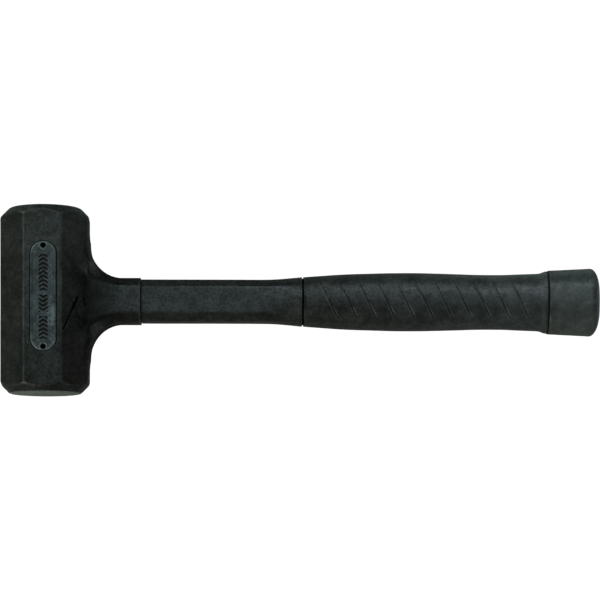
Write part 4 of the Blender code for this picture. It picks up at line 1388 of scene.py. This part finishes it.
HEAD_MAT = urethane("head_black_urethane", (0.0050, 0.0054, 0.0054),
                    (0.030, 0.034, 0.034), 0.36, 1.0, 0.0, 0.04,
                    faces=0.60, neck=True,
                    strokes=(((10.5, -15.8), (14.6, -5.8), 0.50),
                             ((14.6, -5.8), (17.1, 0.3), 0.62),
                             ((20.1, 0.4), (20.8, -3.4), 0.40)))
SHAFT_MAT = urethane("shaft_black_urethane", (0.0050, 0.0054, 0.0054),
                     (0.030, 0.034, 0.034), 0.36, 0.7, 0.31, 0.04,
                     seam_painted_shade=((49.05, 48.85, 0.03), (130.15, 130.3, 0.03)))
GRIP_MAT = urethane("grip_black_urethane", (0.0060, 0.0065, 0.0064),
                    (0.036, 0.040, 0.039), 0.38, 0.8, 0.57, 0.0,
                    ((131.0, 0.02), (255.0, 0.13)),
                    seam_painted_shade=((131.55, 131.1, 0.10), (254.6, 254.95, 0.45)),
                    grooves=(GROOVE_FIRST, GROOVE_PITCH, GROOVE_SLANT,
                             GROOVES, 10.2),
                    flank_painted_sheen=(175.0, 0.0, 225.0, 0.15))
BUTT_MAT = urethane("butt_black_urethane", (0.0070, 0.0075, 0.0073),
                    (0.040, 0.044, 0.043), 0.40, 0.9, 0.83, 0.0,
                    ((255.0, 0.17), (281.0, 0.25)), rim=0.45,
                    seam_painted_shade=((255.75, 255.35, 0.30),),
                    flank_painted_sheen=(255.0, 0.11, 281.0, 0.11))
PLATE_MAT = plate_material()
# the label pins are real, but coloured near black as painted shade down the plate's holes
PIN_HOLE_SHADE = steel("pin_steel_painted_hole_shade", (0.004, 0.004, 0.004), 0.6, 900.0)
BLACKENED = steel("blackened_steel", (0.035, 0.035, 0.037), 0.45, 700.0)
TUBE = steel("drawn_tube_steel", (0.42, 0.43, 0.45), 0.36, 1.0,
             (1800.0, 90.0, 1800.0))
CORE = steel("core_bar_steel", (0.34, 0.35, 0.37), 0.38, 1.0,
             (80.0, 1700.0, 1700.0))
ZINC = steel("zinc_plated_steel", (0.60, 0.62, 0.63), 0.33, 500.0)
SHOT = steel("steel_shot", (0.55, 0.56, 0.58), 0.24, 800.0)


def dress(obj, mat):
    obj.data.materials.clear()
    obj.data.materials.append(mat)


dress(head, HEAD_MAT)
dress(shaft, SHAFT_MAT)
dress(grip, GRIP_MAT)
dress(butt, BUTT_MAT)
dress(plate, PLATE_MAT)
for pin in PINS.values():
    dress(pin, PIN_HOLE_SHADE)
for obj in bpy.context.scene.objects:
    if obj.name.endswith("_cast"):
        dress(obj, SHOT)

CAD_FINISH = {
    "label_pin_upper": PIN_HOLE_SHADE, "label_pin_lower": PIN_HOLE_SHADE,
    "canister_tube": TUBE, "canister_cap_upper": TUBE,
    "canister_cap_lower": TUBE, "core_socket": CORE, "core_rod": CORE,
    "socket_pin": ZINC, "locating_disc_neck": BLACKENED,
    "locating_disc_grip": BLACKENED, "end_washer": ZINC, "end_nut": ZINC,
}
for node, obj in NODES.items():
    mat = SHOT if node.startswith("shot_") else CAD_FINISH.get(node)
    if mat is None:
        continue
    if not obj.material_slots:
        continue
    for s in obj.material_slots:
        s.link = "OBJECT"
        s.material = mat


# ------------------------------------------------------------------ stage
# the mallet lies on the edge of the head's back flat and the back of the butt
SLOPE = math.atan2(20.5 - 17.13 * 0.86, 276.8 - 9.5)


def floor_plane():
    """Pale floor, tipped to touch the head's back flat and the butt."""
    bm = bmesh.new()
    bmesh.ops.create_grid(bm, x_segments=1, y_segments=1, size=6.0)
    mesh = bpy.data.meshes.new("floor")
    bm.to_mesh(mesh)
    bm.free()
    obj = bpy.data.objects.new("floor", mesh)
    bpy.context.scene.collection.objects.link(obj)
    obj.matrix_world = Matrix.Translation((0.0095, 0.0, -0.0002)) \
        @ Matrix.Rotation(-SLOPE, 4, "Y")
    mat = bpy.data.materials.new("pale_floor")
    mat.use_nodes = True
    tree = mat.node_tree
    tree.nodes.clear()
    out = tree.nodes.new("ShaderNodeOutputMaterial")
    path = tree.nodes.new("ShaderNodeLightPath")
    mixer = tree.nodes.new("ShaderNodeMixShader")
    matte = tree.nodes.new("ShaderNodeBsdfDiffuse")
    matte.inputs["Color"].default_value = (0.36, 0.36, 0.36, 1.0)
    glow = tree.nodes.new("ShaderNodeEmission")
    glow.inputs["Color"].default_value = (1.0, 1.0, 1.0, 1.0)
    glow.inputs["Strength"].default_value = 1.05
    tree.links.new(path.outputs["Is Camera Ray"], mixer.inputs["Fac"])
    tree.links.new(matte.outputs[0], mixer.inputs[1])
    tree.links.new(glow.outputs[0], mixer.inputs[2])
    tree.links.new(mixer.outputs[0], out.inputs["Surface"])
    mesh.materials.append(mat)
    obj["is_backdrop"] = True
    return obj


floor = floor_plane()


def area_light(name, location, target, size, power, colour=(1.0, 1.0, 1.0),
               spread=180.0):
    data = bpy.data.lights.new(name, "AREA")
    data.spread = math.radians(spread)
    data.shape = "RECTANGLE"
    data.size, data.size_y = size
    data.energy = power
    data.color = colour
    obj = bpy.data.objects.new(name, data)
    bpy.context.scene.collection.objects.link(obj)
    loc, tgt = Vector(location), Vector(target)
    obj.matrix_world = Matrix.Translation(loc) \
        @ (tgt - loc).to_track_quat("-Z", "Y").to_matrix().to_4x4()
    return obj


MID = Vector((0.13, 0.0, 0.02))
# name, angle off the floor's normal, bearing (0 is along the handle, 90 is up
# the picture), size, power for red, green and blue
SOFT_LIGHTS = (
    ("key_panel", 11, 90, 0.35, (0.63, 0.77, 0.87)),
    ("upper_left_panel", 22, 135, 0.45, (0.42, 0.56, 0.42)),
    ("upper_panel", 45, 90, 0.70, (1.20, 1.42, 1.60)),
    ("left_fill_high", 45, 135, 0.70, (0.60, 0.62, 0.80)),
    ("left_fill", 45, 180, 0.70, (0.50, 0.48, 0.36)),
    ("lower_left_fill", 45, 225, 0.70, (2.90, 2.85, 2.40)),
    ("upper_right_low", 70, 45, 0.80, (1.75, 2.02, 1.86)),
    ("upper_left_low", 70, 135, 0.80, (7.20, 9.20, 7.40)),
    ("lower_left_low", 70, 225, 0.80, (9.60, 9.90, 8.30)),
    ("butt_side_low", 88, 0, 0.50, (0.34, 0.28, 0.26)),
    ("lower_right_low", 76, 315, 0.90, (1.90, 2.10, 2.15)),
    ("near_side_low", 84, 270, 0.80, (0.12, 0.13, 0.125)),
)


def soft_lights():
    square = Matrix.Rotation(-SLOPE, 4, "Y")
    for name, polar, bearing, size, rgb in SOFT_LIGHTS:
        p, b = math.radians(polar), math.radians(bearing)
        way = square @ Vector((math.sin(p) * math.cos(b),
                               math.sin(p) * math.sin(b), math.cos(p)))
        peak = max(rgb)
        area_light(name, MID + way * 1.6, MID, (size, size), peak,
                   tuple(c / peak for c in rgb))


soft_lights()
# a narrow strip light over the grip's upper side, shaded from the head
area_light("grip_strip", (0.232, 0.305, 0.485), (0.225, 0.0, 0.02),
           (0.26, 0.42), 0.041, (0.84, 0.94, 1.0), 34.0)

world = bpy.data.worlds.new("soft_room")
world.use_nodes = True
tree = world.node_tree
tree.nodes.clear()
wout = tree.nodes.new("ShaderNodeOutputWorld")
wmix = tree.nodes.new("ShaderNodeMixShader")
wpath = tree.nodes.new("ShaderNodeLightPath")
wa = tree.nodes.new("ShaderNodeBackground")
wa.inputs["Color"].default_value = (0.80, 0.86, 0.84, 1.0)
wa.inputs["Strength"].default_value = 0.04
wb = tree.nodes.new("ShaderNodeBackground")
wb.inputs["Color"].default_value = (1.0, 1.0, 1.0, 1.0)
wb.inputs["Strength"].default_value = 1.05
tree.links.new(wpath.outputs["Is Camera Ray"], wmix.inputs["Fac"])
tree.links.new(wa.outputs[0], wmix.inputs[1])
tree.links.new(wb.outputs[0], wmix.inputs[2])
tree.links.new(wmix.outputs[0], wout.inputs["Surface"])
bpy.context.scene.world = world

# ------------------------------------------------------------------ camera
PX = 0.509                       # mm of the object for each picture column
DISTANCE = 1.3
VIEW_ANGLE = math.radians(6.4)   # the camera looks up the picture by this much
cam_data = bpy.data.cameras.new("camera")
cam_data.sensor_width = 36.0
cam_data.lens = 36.0 * DISTANCE / (600 * PX * MM)
cam_data.clip_start, cam_data.clip_end = 0.05, 30.0
cam = bpy.data.objects.new("camera", cam_data)
bpy.context.scene.collection.objects.link(cam)
aim = Vector((129.35 * MM, 1.04 * MM, AXIS * MM))
# the picture is square to the floor and the lens is shifted, not tilted
square_on = Matrix.Rotation(-SLOPE, 4, "Y")
below = DISTANCE * math.tan(VIEW_ANGLE)
cam.matrix_world = Matrix.Translation(
    aim + square_on @ Vector((0.0, -below, DISTANCE))) @ square_on
bpy.context.scene.camera = cam
# the shift belongs to this one place of the camera: a mark is left there, and
# the shift goes back to nothing once the camera is moved away from it
mark = bpy.data.objects.new("camera_mark", None)
bpy.context.scene.collection.objects.link(mark)
mark.matrix_world = cam.matrix_world.copy()
curve = cam_data.driver_add("shift_y")
for modifier in list(curve.modifiers):
    curve.modifiers.remove(modifier)
while len(curve.keyframe_points):
    curve.keyframe_points.remove(curve.keyframe_points[0])
curve.driver.type = "SUM"
away = curve.driver.variables.new()
away.type = "LOC_DIFF"
away.targets[0].id = cam
away.targets[1].id = mark
for far, amount in ((-0.01, 1.0), (0.002, 1.0), (0.02, 0.0), (0.5, 0.0)):
    key = curve.keyframe_points.insert(far, amount * below / (600 * PX * MM))
    key.interpolation = "LINEAR"
curve.extrapolation = "CONSTANT"

scene = bpy.context.scene
scene.view_settings.view_transform = "Standard"
scene.view_settings.look = "None"
scene.view_settings.exposure = 0.0
scene.view_settings.gamma = 1.0

bpy.context.view_layer.update()
lo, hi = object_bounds()
